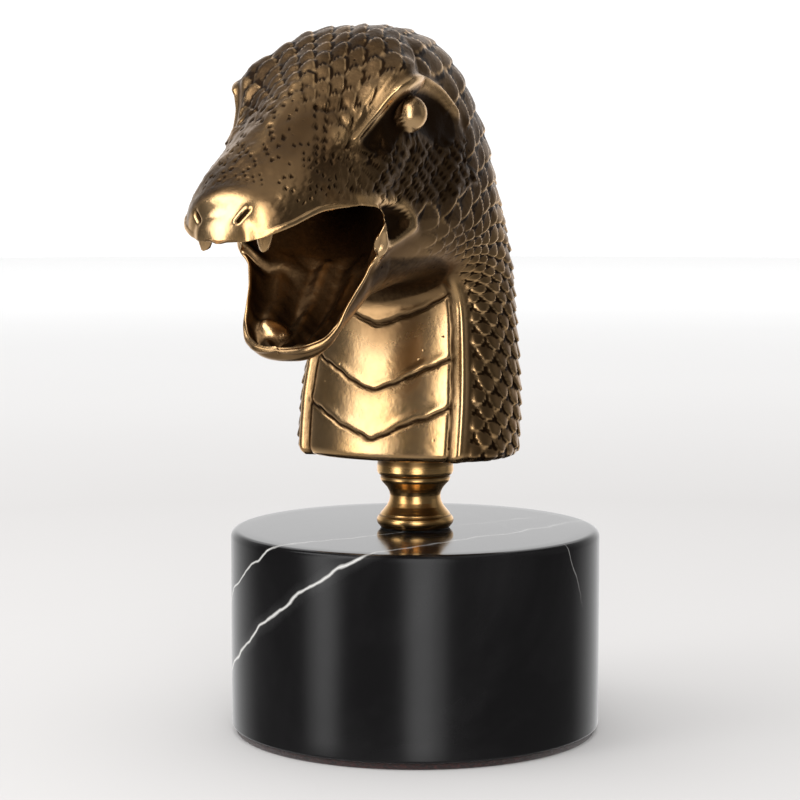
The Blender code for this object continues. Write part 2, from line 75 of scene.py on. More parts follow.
UPPER_LIP = np.array([
    (1.00, 18.0, 46.6, 119.4), (1.06, 18.2, 48.6, 121.6), (1.14, 18.6, 53.2, 123.1),
    (1.25, 18.7, 58.0, 123.6), (1.42, 17.9, 63.8, 123.8), (1.56, 16.6, 68.2, 123.8),
    (1.68, 15.0, 72.7, 122.9), (1.78, 13.0, 77.4, 120.8), (1.86, 11.0, 80.7, 119.4),
    (1.93, 8.4, 83.9, 118.0), (1.975, 5.0, 86.1, 117.3), (2.00, 0.0, 87.0, 117.2),
    (2.025, -5.0, 86.1, 117.3)])
LOWER_LIP = np.array([
    (1.00, 18.0, 46.6, 119.4), (1.08, 16.7, 47.6, 116.6), (1.20, 15.2, 49.4, 112.8),
    (1.35, 14.3, 50.6, 109.8), (1.50, 13.3, 52.2, 107.0), (1.65, 12.2, 55.0, 103.2),
    (1.80, 11.0, 57.9, 98.9), (1.90, 8.6, 60.2, 96.2), (1.96, 4.9, 62.3, 94.9),
    (2.00, 0.0, 63.0, 94.5), (2.04, -4.9, 62.3, 94.9)])
SQUARENESS = np.array([
    (0.00, 2.0), (0.40, 1.87), (0.75, 2.24), (0.90, 2.75), (1.02, 3.2), (1.12, 3.3), (1.22, 2.1),
    (1.33, 1.68), (1.42, 1.62), (1.55, 1.7), (1.70, 2.0), (2.00, 2.26), (2.10, 2.2)])
PALATE_LINE = np.array([
    (1.00, 41.5, 129.5), (1.30, 57.0, 133.5), (1.60, 69.0, 130.0), (1.85, 78.5, 123.0),
    (2.00, 87.0, 117.2)])
FLOOR_LINE = np.array([
    (1.00, 40.5, 112.0), (1.30, 46.4, 102.8), (1.60, 53.0, 97.8), (1.85, 59.0, 95.0),
    (2.00, 63.0, 94.5)])
BROW = np.array([
    (15.4, 56.1, 137.9), (16.5, 51.8, 141.6), (17.7, 49.3, 144.2), (19.0, 47.4, 146.8), (20.1, 45.4, 149.1),
    (20.9, 42.2, 150.8), (20.0, 37.4, 151.4), (18.8, 32.4, 151.1), (18.6, 26.9, 149.7), (19.2, 23.4, 147.4),
    (20.0, 20.9, 144.8), (20.8, 19.1, 142.3), (21.2, 18.2, 140.5)])
SOCKET = np.array([
    (17.0, 50.0, 138.5), (18.5, 46.0, 143.0), (20.0, 41.5, 145.0), (19.5, 36.0, 145.0), (19.0, 30.5, 143.2),
    (19.5, 26.0, 141.0)])
LID_FOLD = np.array([
    (20.2, 45.6, 148.4), (21.1, 42.6, 149.5), (20.4, 38.5, 149.8), (19.3, 33.5, 149.6), (19.0, 29.0, 148.7),
    (19.3, 26.2, 147.2), (19.7, 24.0, 145.3)])
CORNER_EDGE = (
    (115.9, 118.0, 119.6, 120.9, 122.8, 124.4, 124.9),
    (46.6, 42.9, 40.4, 39.6, 41.2, 44.6, 50.0))
CHEEK_EDGE = ((129.2, 131.9, 134.3, 137.2, 140.7, 143.0), (14.0, 16.9, 19.3, 18.4, 17.8, 17.5))
UPPER_RIM = np.array([
    (18.2, 61.0, 125.3), (18.8, 56.0, 125.6), (19.0, 51.0, 125.5), (18.8, 46.0, 125.0), (19.3, 42.6, 123.8),
    (19.8, 40.6, 121.9), (19.8, 40.2, 120.2)])
LOWER_RIM = np.array([
    (19.8, 40.2, 120.2), (19.4, 41.6, 119.2), (18.6, 44.0, 118.0), (17.8, 46.2, 116.8), (17.0, 48.2, 114.8),
    (15.8, 49.6, 112.4)])
CLAWS = (
    np.array([(6.6, 57.8, 145.4), (9.2, 56.4, 144.6)]),
    np.array([(9.7, 55.9, 144.9), (10.9, 56.4, 143.2), (12.4, 56.7, 141.5)]),
    np.array([(10.8, 53.6, 146.4), (12.2, 53.9, 144.6), (13.6, 54.4, 142.7)]),
    np.array([(14.1, 52.1, 145.0), (14.0, 53.6, 143.0)]))
CORNER_LIP = np.array([
    (18.6, 58.6, 123.6), (18.4, 55.3, 123.0), (18.2, 52.3, 121.6), (18.0, 50.7, 119.4), (17.4, 49.6, 116.6),
    (15.8, 49.5, 112.8)])
CORNER_PULL, UPPER_REACH, LOWER_REACH = 4.1, 0.17, 0.095
# Stations and half widths that bound the painted shadow on the belly under the jaw
JAW_SHADOW_EDGE = ((0.58, 0.594, 0.67, 0.83, 0.95, 1.10, 1.26), (0.30, 0.45, 0.58, 0.68, 0.73, 0.84, 0.90))
NOSTRILS = (
    np.array([(4.2, 85.8, 122.2), (4.8, 85.0, 123.3), (5.6, 84.1, 124.4)]),
    np.array([(-6.4, 85.0, 122.0), (-7.1, 84.2, 122.7), (-7.8, 83.3, 123.4)]))
GROOVES = (5 / 33, 9 / 33, 17 / 33)
DIP = ((0.0, 0.147, 0.265, 0.50, 0.80, 1.0), (0.0, 0.100, 0.100, 0.158, 0.03, 0.0))


# Form of the head

def rail(t, rows):
    """Cubic through the rows of a keyed table; each slope is the mean of its neighbours' slopes."""
    key = rows[:, 0]
    val = rows[:, 1:]
    slope = np.gradient(val, key, axis=0)
    t = np.asarray(t, float)
    i = np.clip(np.searchsorted(key, t, side="right") - 1, 0, len(key) - 2)
    step = key[i + 1] - key[i]
    s = ((t - key[i]) / step)[..., None]
    step = step[..., None]
    return ((1 + 2 * s) * (1 - s) ** 2 * val[i] + s * (1 - s) ** 2 * step * slope[i]
            + s * s * (3 - 2 * s) * val[i + 1] + s * s * (s - 1) * step * slope[i + 1])


def section(side, mid, power, turn):
    """Half ring from right to left side: sideways = w sin(a) r, rise = cos(a) r, with
    r = (|sin a|^n + |cos a|^n)^(-1/n); the rise moves from the side point to the middle point."""
    sn, cs = np.sin(turn), np.cos(turn)
    r = (np.abs(sn) ** power + np.abs(cs) ** power) ** (-1.0 / power)
    wide = side[..., 0] * sn * r
    rise = cs * r
    fwd = side[..., 1] + (mid[..., 0] - side[..., 1]) * rise
    up = side[..., 2] + (mid[..., 1] - side[..., 2]) * rise
    return np.stack([wide, fwd, up], -1)


def side_rail(u, lip):
    """Side line up to the mouth corner (u = 1), lip line beyond it."""
    side, edge = rail(np.minimum(u, 1.0), SIDE_LINE), rail(np.maximum(u, 1.0), lip)
    return np.where((u <= 1.0)[..., None], side, edge)


def normals(grid, sign):
    """Unit normals of a grid: cross product of its row and column differences."""
    n = np.cross(np.gradient(grid, axis=0), np.gradient(grid, axis=1)) * sign
    return n / np.maximum(np.linalg.norm(n, axis=-1, keepdims=True), 1e-9)


def ease(x, low, high):
    """0 below low, 1 above high, 3s^2 - 2s^3 between."""
    s = np.clip((x - low) / (high - low), 0.0, 1.0)
    return s * s * (3 - 2 * s)


def hump(x, width):
    """exp(-(x / width)^2)"""
    return np.exp(-(x / width) ** 2)


def off_line(p, line):
    """Distance of every point to a line of short straight pieces."""
    best = np.full(p.shape[:-1], 1e9)
    for a, b in zip(line[:-1], line[1:]):
        d = b - a
        s = np.clip(((p - a) @ d) / (d @ d), 0.0, 1.0)
        best = np.minimum(best, np.linalg.norm(p - a - s[..., None] * d, axis=-1))
    return best


def above_line(p, line, rise):
    """Distance along the direction rise from the nearest point of the line."""
    best = np.full(p.shape[:-1], 1e9)
    side = np.zeros(p.shape[:-1])
    for a, b in zip(line[:-1], line[1:]):
        d = b - a
        s = np.clip(((p - a) @ d) / (d @ d), 0.0, 1.0)
        away = p - a - s[..., None] * d
        dist = np.linalg.norm(away, axis=-1)
        side = np.where(dist < best, away @ np.array(rise), side)
        best = np.minimum(best, dist)
    return side


def smooth_line(line, steps=5):
    """The same line with extra points on a cubic through its points."""
    keyed = np.concatenate([np.arange(len(line))[:, None], line], axis=1)
    return rail(np.linspace(0.0, len(line) - 1.0, steps * (len(line) - 1) + 1), keyed)


def mirrored(p):
    """The same points with both flanks folded onto the left one."""
    return p * np.where(p[..., :1] < 0.0, np.array([-1.0, 1.0, 1.0]), 1.0)


def corner_pull(u, reach):
    """How far the mouth corner is drawn forwards at station u: a hump that ends sooner behind u = 1."""
    return CORNER_PULL * hump(u - 1.0, np.where(u < 1.0, 0.08, reach))


def crown_form(u, t):
    """Upper half of the skin: a superellipse ring at each station, swollen at brow and cheek."""
    p = section(side_rail(u, UPPER_LIP), rail(u, BACK_LINE), rail(u, SQUARENESS)[..., 0], t * math.pi / 2)
    p[..., 1] += corner_pull(u, UPPER_REACH) * ease(np.abs(t), 0.70, 1.0)
    q = mirrored(p) - SHOULDER
    near = hump(q[..., 0], 9.0) * hump(q[..., 1], 10.0) * hump(q[..., 2], 9.0)
    p[..., 0] += 4.9 * near * np.sign(p[..., 0])
    p[..., 2] += 6.2 * near
    q = mirrored(p) - TEMPLE
    near = hump(q[..., 0], 7.5) * hump(q[..., 1], 10.0) * hump(q[..., 2], 7.0)
    p[..., 0] += 1.1 * near * np.sign(p[..., 0])
    p[..., 2] += 1.5 * near
    q = mirrored(p) - CHEEK
    near = hump(q[..., 0], 12.0) * hump(q[..., 1], 8.0) * hump(q[..., 2], 6.5)
    p[..., 0] += 2.0 * near * np.sign(p[..., 0])
    q = mirrored(p) - CHEEK_REAR
    near = hump(q[..., 0], 12.0) * hump(q[..., 1], 5.0) * hump(q[..., 2], 9.0)
    p[..., 0] += 0.8 * near * np.sign(p[..., 0])
    return p


def belly_form(u, t):
    """Lower half of the skin: rings of power 2.25 down to the belly line."""
    p = section(side_rail(u, LOWER_LIP), rail(u, BELLY_LINE), 2.25, t * math.pi / 2)
    p[..., 1] += corner_pull(u, LOWER_REACH) * ease(np.abs(t), 0.70, 1.0)
    return p


def even_stations(low, high, count, line, crowd=0.0):
    """Stations at even steps along a line; the first ones lie closer together by crowd."""
    w = np.linspace(low, high, 600)
    run = np.concatenate([[0.0], np.cumsum(np.linalg.norm(np.diff(rail(w, line), axis=0), axis=-1))])
    share = np.linspace(0.0, 1.0, count + 1)
    share = share - crowd * np.sin(math.pi * share) / math.pi
    return np.interp(share * run[-1], run, w)


# Scales

def lot(a, b, seed):
    """Repeatable number from 0 to 1 for a pair of whole numbers: the fraction of a large sine."""
    return np.mod(np.sin(a * 12.9898 + b * 78.233 + seed * 37.719) * 43758.5453, 1.0)


def scale_rows(u):
    """Number of half scales between the neck's edge and station u: the sum of a rate along u."""
    w = np.linspace(0.0, 2.0, 801)
    rate = np.interp(w, (0.0, 0.4, 0.8, 1.0, 1.15, 1.35, 2.0), (29.0, 29.0, 31.0, 22.0, 18.0, 21.0, 42.0))
    return np.interp(u, w, np.concatenate([[0.0], np.cumsum((rate[1:] + rate[:-1]) / 2 * np.diff(w))]))


def scales(row, col):
    """Overlapping scales, tips towards falling rows. A scale two rows long is bounded by
    |2b|^1.8 + s^1.8 = 1 beyond its middle; it rises evenly to its tip and drops at its edge.
    Gives height 0 to 1, the dark band below the edge (patina in the crevice with painted shade under the
    tip), the edge itself, and a number for each scale."""
    k = np.ceil(row) + 1.0
    s = k - row - 1.0
    shift = 0.5 * np.mod(k, 2.0)
    c = np.round(col - shift) + shift
    b = np.abs(col - c)
    rho = ((2 * b) ** 1.8 + s ** 1.8) ** (1 / 1.8)
    rho = rho + 0.10 * (lot(k, c, 1.0) - 0.5)
    over = ease(1.0 - rho, -0.07, 0.09)
    k1 = k - 1.0
    shift1 = 0.5 * np.mod(k1, 2.0)
    c1 = np.round(col - shift1) + shift1
    b1 = np.abs(col - c1)
    top = (1.0 + s) / 2 - 0.25 * (2 * b) ** 2
    under = s / 2 - 0.25 * (2 * b1) ** 2 * (1 - s)
    height = under + (top - under) * over
    shaded_gap = hump(np.maximum(rho - 1.10, 0.0), 0.26) * ease(rho, 0.95, 1.04)
    edge = hump(rho - 0.92, 0.06)
    own = np.where(rho < 1.0, lot(k, c, 2.0), lot(k1, c1, 2.0))
    return height, shaded_gap, edge, own


def notches(row, col):
    """Small dents at half-offset places with a random shift each, 1 inside an ellipse of about 0.24
    columns by 0.42 rows, and the raised rim round them; half of the places stay empty."""
    k = np.round(row)
    shift = 0.5 * np.mod(k, 2.0)
    c = np.round(col - shift) + shift
    aside = col - c + 0.25 * (lot(k, c, 3.0) - 0.5)
    along = row - k + 0.30 * (lot(k, c, 4.0) - 0.5) + 0.5 * aside * (lot(k, c, 5.0) - 0.5)
    size = 0.75 + 0.5 * lot(k, c, 7.0)
    r = np.hypot(aside / 0.24, (along + 1.2 * np.abs(aside)) / 0.42) / size
    there = lot(k, c, 6.0) > 0.48
    return (1 - ease(r, 0.55, 1.0)) * there, hump(r - 1.3, 0.35) * there


def flank_relief(p):
    """Sum of humps and round ridges along lines on the flank, outwards, with how dark with patina and how
    rubbed each place is and where the dark cheek lies."""
    q = mirrored(p)
    wide, fwd, up = q[..., 0], q[..., 1], q[..., 2]
    line = smooth_line(BROW)
    brow = off_line(q, line)
    over = ease(above_line(q, line, (-0.55, 0.0, 0.83)), -0.4, 0.3)
    front = ease(fwd, 43.0, 48.0)
    deep = hump(off_line(q, SOCKET), 4.4)
    lift = -2.7 * deep * (1 - over) * (0.30 + 0.70 * ease(fwd, 27.0, 36.0))
    patina_and_shade = ease(deep, 0.05, 0.5) * (1 - over) * ease(wide, 11.0, 14.0)
    rope = hump(brow, 0.9 + 0.9 * (1 - over) * (1 - ease(fwd, 33.0, 42.0)))
    rope = rope * (1 - (1 - ease(up, 141.5, 145.0)) * (1 - ease(fwd, 24.0, 28.0)))
    swell = over * hump(brow - 3.2, 2.8) * (0.35 + 0.65 * front)
    lift = lift + (1.5 - 0.7 * front) * rope + (0.6 + 0.3 * front) * swell
    wear_and_sheen = np.maximum(rope, 0.40 * swell)
    patina_and_shade = patina_and_shade * (1 - wear_and_sheen)
    patina_and_shade = np.maximum(patina_and_shade, 0.25 * over * hump(brow - 1.5, 0.6) * front)
    fold = off_line(q, smooth_line(LID_FOLD))
    lift = lift + 0.7 * hump(fold, 1.0)
    wear_and_sheen = np.maximum(wear_and_sheen, 0.6 * hump(fold, 0.6))
    patina_and_shade = patina_and_shade * (1 - 0.7 * hump(fold, 0.6))
    outer = ease(wide, 15.0, 17.0)
    rim_at = np.interp(up, *CORNER_EDGE)
    pit = ease(fwd - rim_at, 0.0, 4.5) * (1 - ease(fwd, 51.0, 55.0)) * outer
    corner = off_line(q, CORNER_LIP)
    pit = pit * ease(up, 115.4, 117.8) * (1 - ease(up, 122.8, 125.2)) * ease(corner, 2.0, 3.8)
    lift = lift - 1.4 * pit + 0.8 * hump(corner - 1.1, 1.0) * (1 - ease(fwd, 54.0, 58.0))
    wear_and_sheen = np.maximum(wear_and_sheen, hump(corner - 1.1, 1.3) * (1 - ease(fwd, 54.0, 58.0)))
    for line in (UPPER_RIM, LOWER_RIM):
        rim = off_line(q, smooth_line(line))
        lift = lift + 0.7 * hump(rim, 1.5)
        wear_and_sheen = np.maximum(wear_and_sheen, hump(rim, 1.3))
    patina_and_shade = np.maximum(patina_and_shade, ease(pit, 0.05, 0.4))
    wear_and_sheen = wear_and_sheen * (1 - ease(pit, 0.1, 0.6))
    for line in CLAWS:
        claw = off_line(q, line)
        lift = lift - 0.45 * hump(claw, 0.55)
        patina_and_shade = np.maximum(patina_and_shade, 0.85 * hump(claw, 0.5))
    floor = 124.6 + 4.0 * ease(30.0 - fwd, 0.0, 15.0)
    edge = np.interp(up, *CHEEK_EDGE) + 0.5 * np.sin(up * 1.9)
    tall = ease(up, floor - 0.5, floor + 1.0) * (1 - over) * ease(wide, 14.0, 17.0)
    cheek = ease(fwd, edge - 0.3, edge + 0.3) * (1 - ease(fwd, 54.0, 62.0)) * tall
    lift = lift + 0.5 * cheek * (1 - ease(fwd, 24.0, 32.0))
    patina_and_shade = np.maximum(patina_and_shade, 0.60 * cheek * (1 - wear_and_sheen))
    patina_and_shade = np.maximum(patina_and_shade, 0.9 * hump(fwd - edge + 0.8, 0.6) * tall * (1 - ease(up, 140.0, 143.0)))
    return lift, patina_and_shade, wear_and_sheen, cheek


def crown_share(p, u, t):
    """How strongly scales stand out on the upper half, 0 to 1."""
    q = mirrored(p)
    share = 1.0 - 0.85 * ease(u, 1.30, 1.55)
    share = share * (1 - ease(u, 1.80, 1.90))
    share = share * (1 - 0.25 * ease(u, 0.62, 0.85))
    eye = np.hypot((q[..., 1] - EYE_AT[0]) / 1.1, q[..., 2] - EYE_AT[1])
    share = share * np.maximum(ease(eye, 4.6, 6.5), 1 - ease(q[..., 0], 10.0, 14.0))
    share = share * ease(off_line(q, BROW), 1.5, 3.2) * ease(off_line(q, SOCKET), 1.0, 4.5)
    lips = np.minimum(off_line(q, UPPER_RIM), off_line(q, LOWER_RIM))
    return share * ease(lips, 1.2, 2.4) * (1 - ease(np.abs(t), 0.93, 0.98) * ease(u, 1.0, 1.1))


def wander(p, size, seed):
    """Slow unevenness from -1 to 1: a product of sines of the three coordinates over size."""
    x, y, z = (p[..., k] / size for k in range(3))
    return (np.sin(x * 2.1 + seed) * np.sin(y * 1.7 + 1.3 * seed) * 0.6
            + np.sin(z * 1.9 + 0.7 * seed + x) * np.sin(y * 2.3 - z + seed) * 0.4)


def head_sheets():
    """Crown, belly with lower jaw, palate and mouth floor as grids of points with two masks: patina with
    painted shade, and wear with painted highlights.
    """
    few = 1.0
    n_rear, n_snout, n_jaw = int(224 * few), int(124 * few), int(64 * few)
    n_crown, n_belly = int(156 * few) // 2 * 2, int(118 * few) // 2 * 2
    n_palate, n_floor = int(44 * few) // 2 * 2, int(44 * few) // 2 * 2
    middle = np.concatenate([BACK_LINE[:8, :1], (BACK_LINE[:8, 1:] + SIDE_LINE[:8, 2:]) / 2], axis=1)
    rear = even_stations(0.0, 1.0, n_rear, middle, -0.25)
    tip = even_stations(1.0, 2.0, n_snout, UPPER_LIP, 0.15)
    jaw = even_stations(1.0, 2.0, n_jaw, LOWER_LIP)
    across = np.linspace(-1.0, 1.0, n_crown + 1)
    across = across + 0.22 * np.sin(math.pi * across) / math.pi
    u, t = np.meshgrid(np.concatenate([rear, tip[1:]]), across, indexing="ij")
    draw = 0.35 * ease(u, 0.70, 0.95) * (1 - ease(u, 1.35, 1.60)) * hump(np.abs(t) - 0.66, 0.24)
    t = t + draw * (0.66 * np.sign(t) - t)
    v, tb = np.meshgrid(np.concatenate([rear, jaw[1:]]), np.linspace(-1.0, 1.0, n_belly + 1), indexing="ij")
    blunt = 0.03 + 0.16 * ease(v, 0.30, 0.50)
    depth = np.maximum(0.0, 1.0 + blunt - np.hypot(np.abs(tb) / 0.525, blunt))
    station = v - np.interp(v, DIP[0], DIP[1]) * depth
    crown = crown_form(u, t)
    belly = belly_form(station, tb)
    nc = normals(crown, -1.0)
    nb = normals(belly, 1.0)
    rows = n_rear + 1
    for col in (0, -1):
        both = nc[:rows, col] + nb[:rows, col]
        both = both / np.linalg.norm(both, axis=-1, keepdims=True)
        nc[:rows, col] = both
        nb[:rows, col] = both
    nc[-1] = nc[-2].mean(axis=0)
    nb[-1] = nb[-2].mean(axis=0)

    # Crown and snout
    lift, patina_and_shade, wear_and_sheen, cheek = flank_relief(crown)
    fade = 1 - ease(u, 1.62, 1.75)
    lift, patina_and_shade, wear_and_sheen = lift * fade, patina_and_shade * fade, wear_and_sheen * fade
    share = crown_share(crown, u, t) * (1 - cheek)
    lift = lift + 0.16 * wander(crown, 2.6, 6.0) * (1 - ease(u, 1.80, 1.92)) * (1 - wear_and_sheen)
    col = 7.0 * t
    back = 1.0 - np.abs(t)
    slant = 3.3 * (back - back * back / 2) * (1 - ease(u, 0.4, 0.8))
    row = scale_rows(u) + slant + 0.22 * wander(crown, 9.0, 1.0)
    height, shaded_gap, edge, own = scales(row, col + 0.08 * wander(crown, 7.0, 2.0))
    size = 1.30 * share
    lift = lift + (height - 0.45) * size + 0.10 * share * (own - 0.5)
    lip = rail(np.maximum(u, 1.0), UPPER_LIP)
    lip[..., 0] *= np.sign(t)
    lip[..., 1] += corner_pull(np.maximum(u, 1.0), UPPER_REACH)
    from_lip = np.linalg.norm(crown - lip, axis=-1)
    snout = ease(u, 1.22, 1.45) * (1 - ease(cheek, 0.2, 0.8)) * (1 - ease(u, 1.78, 1.86))
    snout = snout * (1 - ease(wear_and_sheen, 0.3, 0.7)) * ease(from_lip, 2.4, 3.6)
    arc = np.cumsum(np.linalg.norm(np.diff(crown, axis=1, prepend=crown[:, :1]), axis=-1), axis=1)
    arc = 2 * arc / np.maximum(arc[:, -1:], 1e-6) - 1.0
    row = 1.6 * scale_rows(u) + 0.3 * wander(crown, 6.0, 4.0)
    notch, lump = notches(row, 8.5 * arc + 0.2 * wander(crown, 5.0, 5.0))
    lift = lift + (0.03 * lump - 0.30 * notch) * snout
    down = (crown[..., 2] - 0.3 * crown[..., 1]) / 2.7
    leaf, shaded_cleft, tip_edge, _ = scales(down, crown[..., 1] / 5.0 + 0.25 * wander(crown, 5.0, 7.0))
    fleck = cheek * ease(from_lip, 2.4, 3.6) * (1 - ease(u, 1.35, 1.5))
    fleck = fleck * (1 - ease(crown[..., 2], 137.0, 140.0))
    lift = lift + 1.2 * (leaf - 0.45) * fleck
    # Cheek marks: patina in each crevice with painted shade under the tip
    patina_and_shade = np.maximum(patina_and_shade, shaded_cleft * fleck)
    wear_and_sheen = np.maximum(wear_and_sheen, 0.40 * tip_edge * fleck)
    # Scales: patina in each crevice with painted shade under the tip
    patina_and_shade = np.maximum(patina_and_shade, np.minimum(1.3 * shaded_gap * share, 1.0))
    patina_and_shade = np.maximum(patina_and_shade, notch * snout)
    wear_and_sheen = np.maximum(wear_and_sheen, share * (0.85 * edge + 0.30 * height * (1 - shaded_gap) * hump(u - 0.62, 0.30)))
    slot = np.minimum(off_line(crown, NOSTRILS[0]), off_line(crown, NOSTRILS[1]))
    lift = lift - 0.8 * hump(slot, 0.60) * ease(u, 1.7, 1.8) - 1.2 * ease(u, 1.84, 1.96)
    patina_and_shade = np.maximum(patina_and_shade, (1 - ease(slot, 0.20, 0.90)) * ease(u, 1.7, 1.8))
    wear_and_sheen = np.maximum(wear_and_sheen, ease(u, 1.86, 1.92) * (1 - patina_and_shade))
    # Rubbed midline, partly a painted highlight: a light gold band along the crest from crown to snout
    crest = hump(crown[..., 0], 2.0) * ease(u, 0.9, 1.1) * (1 - ease(u, 1.6, 1.8))
    wear_and_sheen = np.maximum(wear_and_sheen, 0.28 * crest)
    # Painted dark reflection: a darker patch on the snout top, off centre towards the right flank
    dark = ease(u, 1.62, 1.72) * (1 - ease(u, 1.86, 1.92)) * hump(crown[..., 0] + 5.0, 8.0)
    patina_and_shade = np.maximum(patina_and_shade, 0.85 * dark * (0.8 + 0.2 * wander(crown, 5.0, 3.0)))
    bead = ease(u, 0.965, 1.0)
    roll = np.sqrt(np.maximum(0.5 - (from_lip - 0.6) ** 2, 0.0))
    lift = lift + 0.8 * roll * bead * (1 - ease(u, 1.8, 1.95))
    wear_and_sheen = np.maximum(wear_and_sheen, bead * hump(from_lip - 0.5, 0.7))
    patina_and_shade = patina_and_shade * (1 - 0.9 * bead * hump(from_lip - 0.5, 0.7))
    plate = 0.54 * (1 - ease(u, 1.15, 1.60)) + 0.18 * (own - 0.5) * share
    patina_and_shade = np.maximum(patina_and_shade, plate * (1 - wear_and_sheen) * ease(u, 0.5, 0.8))
    skin = crown + nc * lift[..., None]
    # Eye ball: points within 1.25 radii are carried over the half sphere where it stands out
    q = mirrored(skin)
    off = np.hypot(q[..., 1] - EYE_AT[0], q[..., 2] - EYE_AT[1])
    flank = np.abs(skin[..., 0]) > 12.0
    turn = np.clip(off / (1.25 * EYE_R), 0.0, 1.0) * math.pi / 2
    near = np.where(off < 1.25 * EYE_R, EYE_R * np.sin(turn), EYE_R + (off - 1.25 * EYE_R) / 0.75)
    pull = np.where((off < 2 * EYE_R) & flank, near / np.maximum(off, 1e-6), 1.0)
    skin[..., 1] = EYE_AT[0] + (q[..., 1] - EYE_AT[0]) * pull
    skin[..., 2] = EYE_AT[1] + (q[..., 2] - EYE_AT[1]) * pull
    ball = EYE_SIDEWAYS + EYE_R * np.cos(turn)
    on_ball = (off < 1.25 * EYE_R) & flank & (ball > np.abs(skin[..., 0]))
    skin[..., 0] = np.where(on_ball, ball * np.sign(skin[..., 0]), skin[..., 0])
    rim = hump(off - 1.3 * EYE_R, 0.8) * flank
    # Painted shade on the ball: darker towards its edge and over its top, under the brow
    above = q[..., 2] - EYE_AT[1] + 0.3 * (q[..., 1] - EYE_AT[0])
    shade = 0.8 * ease(off, 1.05 * EYE_R, 1.19 * EYE_R) + 0.45 * ease(above, -0.5, 3.0)
    patina_and_shade = np.where(on_ball, shade, patina_and_shade)
    patina_and_shade = np.maximum(patina_and_shade, rim)
    wear_and_sheen = np.where(on_ball, 1 - ease(off, 1.03 * EYE_R, 1.19 * EYE_R), wear_and_sheen * (1 - rim))
    crown = skin

    # Belly, flanks and lower jaw
    a = np.abs(tb)
    lift, patina_and_shade_b, wear_and_sheen_b, _ = flank_relief(belly)
    keep = 1 - ease(v, 1.10, 1.25)
    lift, patina_and_shade_b, wear_and_sheen_b = lift * keep, patina_and_shade_b * keep, wear_and_sheen_b * keep
    along = 1 - ease(v, 0.50, 0.64)
    ridge = 1.25 * hump(a - 0.520, 0.034) - 0.60 * hump(a - 0.462, 0.013)
    lift = lift + ridge * along
    trench = hump(a - 0.463 + 0.003 * np.sin(belly[..., 2] * 0.9), 0.011)
    patina_and_shade_b = np.maximum(patina_and_shade_b, trench * along * 0.95)
    wear_and_sheen_b = np.maximum(wear_and_sheen_b, hump(a - 0.520, 0.035) * along)
    inside = 1 - ease(a, 0.450, 0.468)
    for g in GROOVES:
        w = v - g + 0.0025 * np.sin(tb * 23.0 + g * 40.0) + 0.0015 * np.sin(tb * 61.0 + g * 90.0)
        lift = lift + inside * (-0.60 * hump(w, 0.0050) + 0.16 * hump(w - 0.014, 0.012) * (w > 0.0))
        patina_and_shade_b = np.maximum(patina_and_shade_b, inside * hump(w, 0.0052))
        patina_and_shade_b = np.maximum(patina_and_shade_b, 0.30 * inside * ease(-w, 0.0, 0.004) * (1 - ease(-w, 0.004, 0.05)))
    band = inside * (1 - ease(v, 0.52, 0.66))
    wear_and_sheen_b = np.maximum(wear_and_sheen_b, (0.70 - 0.50 * ease(v, 0.34, 0.50)) * band * (1 - patina_and_shade_b))
    share = ease(a, 0.565, 0.60) * (1 - ease(v, 0.86, 0.97))
    share = share * (1 - ease(v, 0.55, 0.65) * (1 - ease(a, 0.62, 0.74)))
    share = share * (1 - 0.5 * ease(v, 0.62, 0.85))
    col = (7.0 + 6.5 * (1.0 - a)) * np.sign(tb)
    row = scale_rows(v) - 3.3 * (1.0 - a) * (1 - ease(v, 0.4, 0.8)) + 0.22 * wander(belly, 9.0, 1.0)
    height, shaded_gap, edge, own = scales(row, col + 0.08 * wander(belly, 7.0, 2.0))
    size = 1.0 * share
    lift = lift + (height - 0.45) * size + 0.10 * share * (own - 0.5)
    # Scales: patina in each crevice with painted shade under the tip
    patina_and_shade_b = np.maximum(patina_and_shade_b, np.minimum(1.2 * shaded_gap * share, 1.0))
    wear_and_sheen_b = np.maximum(wear_and_sheen_b, share * (0.85 * edge + 0.30 * height * (1 - shaded_gap) * hump(v - 0.62, 0.30)))
    # Painted shadow: a dark patch on the belly under the jaw, where the head overhangs the neck; less gold
    # there too
    painted_jaw_shadow = ease(v, 0.573, 0.590) * (1 - ease(v, 1.15, 1.35))
    painted_jaw_shadow = painted_jaw_shadow * (1 - ease(a - np.interp(v, *JAW_SHADOW_EDGE), -0.04, 0.03))
    patina_and_shade_b = np.maximum(patina_and_shade_b, 0.66 * painted_jaw_shadow)
    wear_and_sheen_b = wear_and_sheen_b * (1 - 0.7 * painted_jaw_shadow)
    lip = rail(np.maximum(v, 1.0), LOWER_LIP)
    lip[..., 0] *= np.sign(tb)
    lip[..., 1] += corner_pull(np.maximum(v, 1.0), LOWER_REACH)
    from_lip = np.linalg.norm(belly - lip, axis=-1)
    bead = ease(v, 0.965, 1.0)
    broad = 0.6 + 0.6 * ease(v, 1.60, 1.85)
    lift = lift + 0.8 * np.sqrt(np.maximum(0.5 * broad - (from_lip - broad) ** 2 / 1.4, 0.0)) * bead
    shine = bead * (0.5 + 0.5 * ease(v, 1.03, 1.16) - 0.5 * ease(v, 1.6, 1.85))
    wear_and_sheen_b = np.maximum(wear_and_sheen_b, shine * hump(from_lip - 0.5 * broad, 0.3 + 0.7 * broad))
    wear_and_sheen_b = np.maximum(wear_and_sheen_b, 0.22 * ease(v, 1.0, 1.15))
    patina_and_shade_b = patina_and_shade_b * (1 - 0.9 * bead * hump(from_lip - 0.5, 0.9))
    belly = belly + nb * lift[..., None]

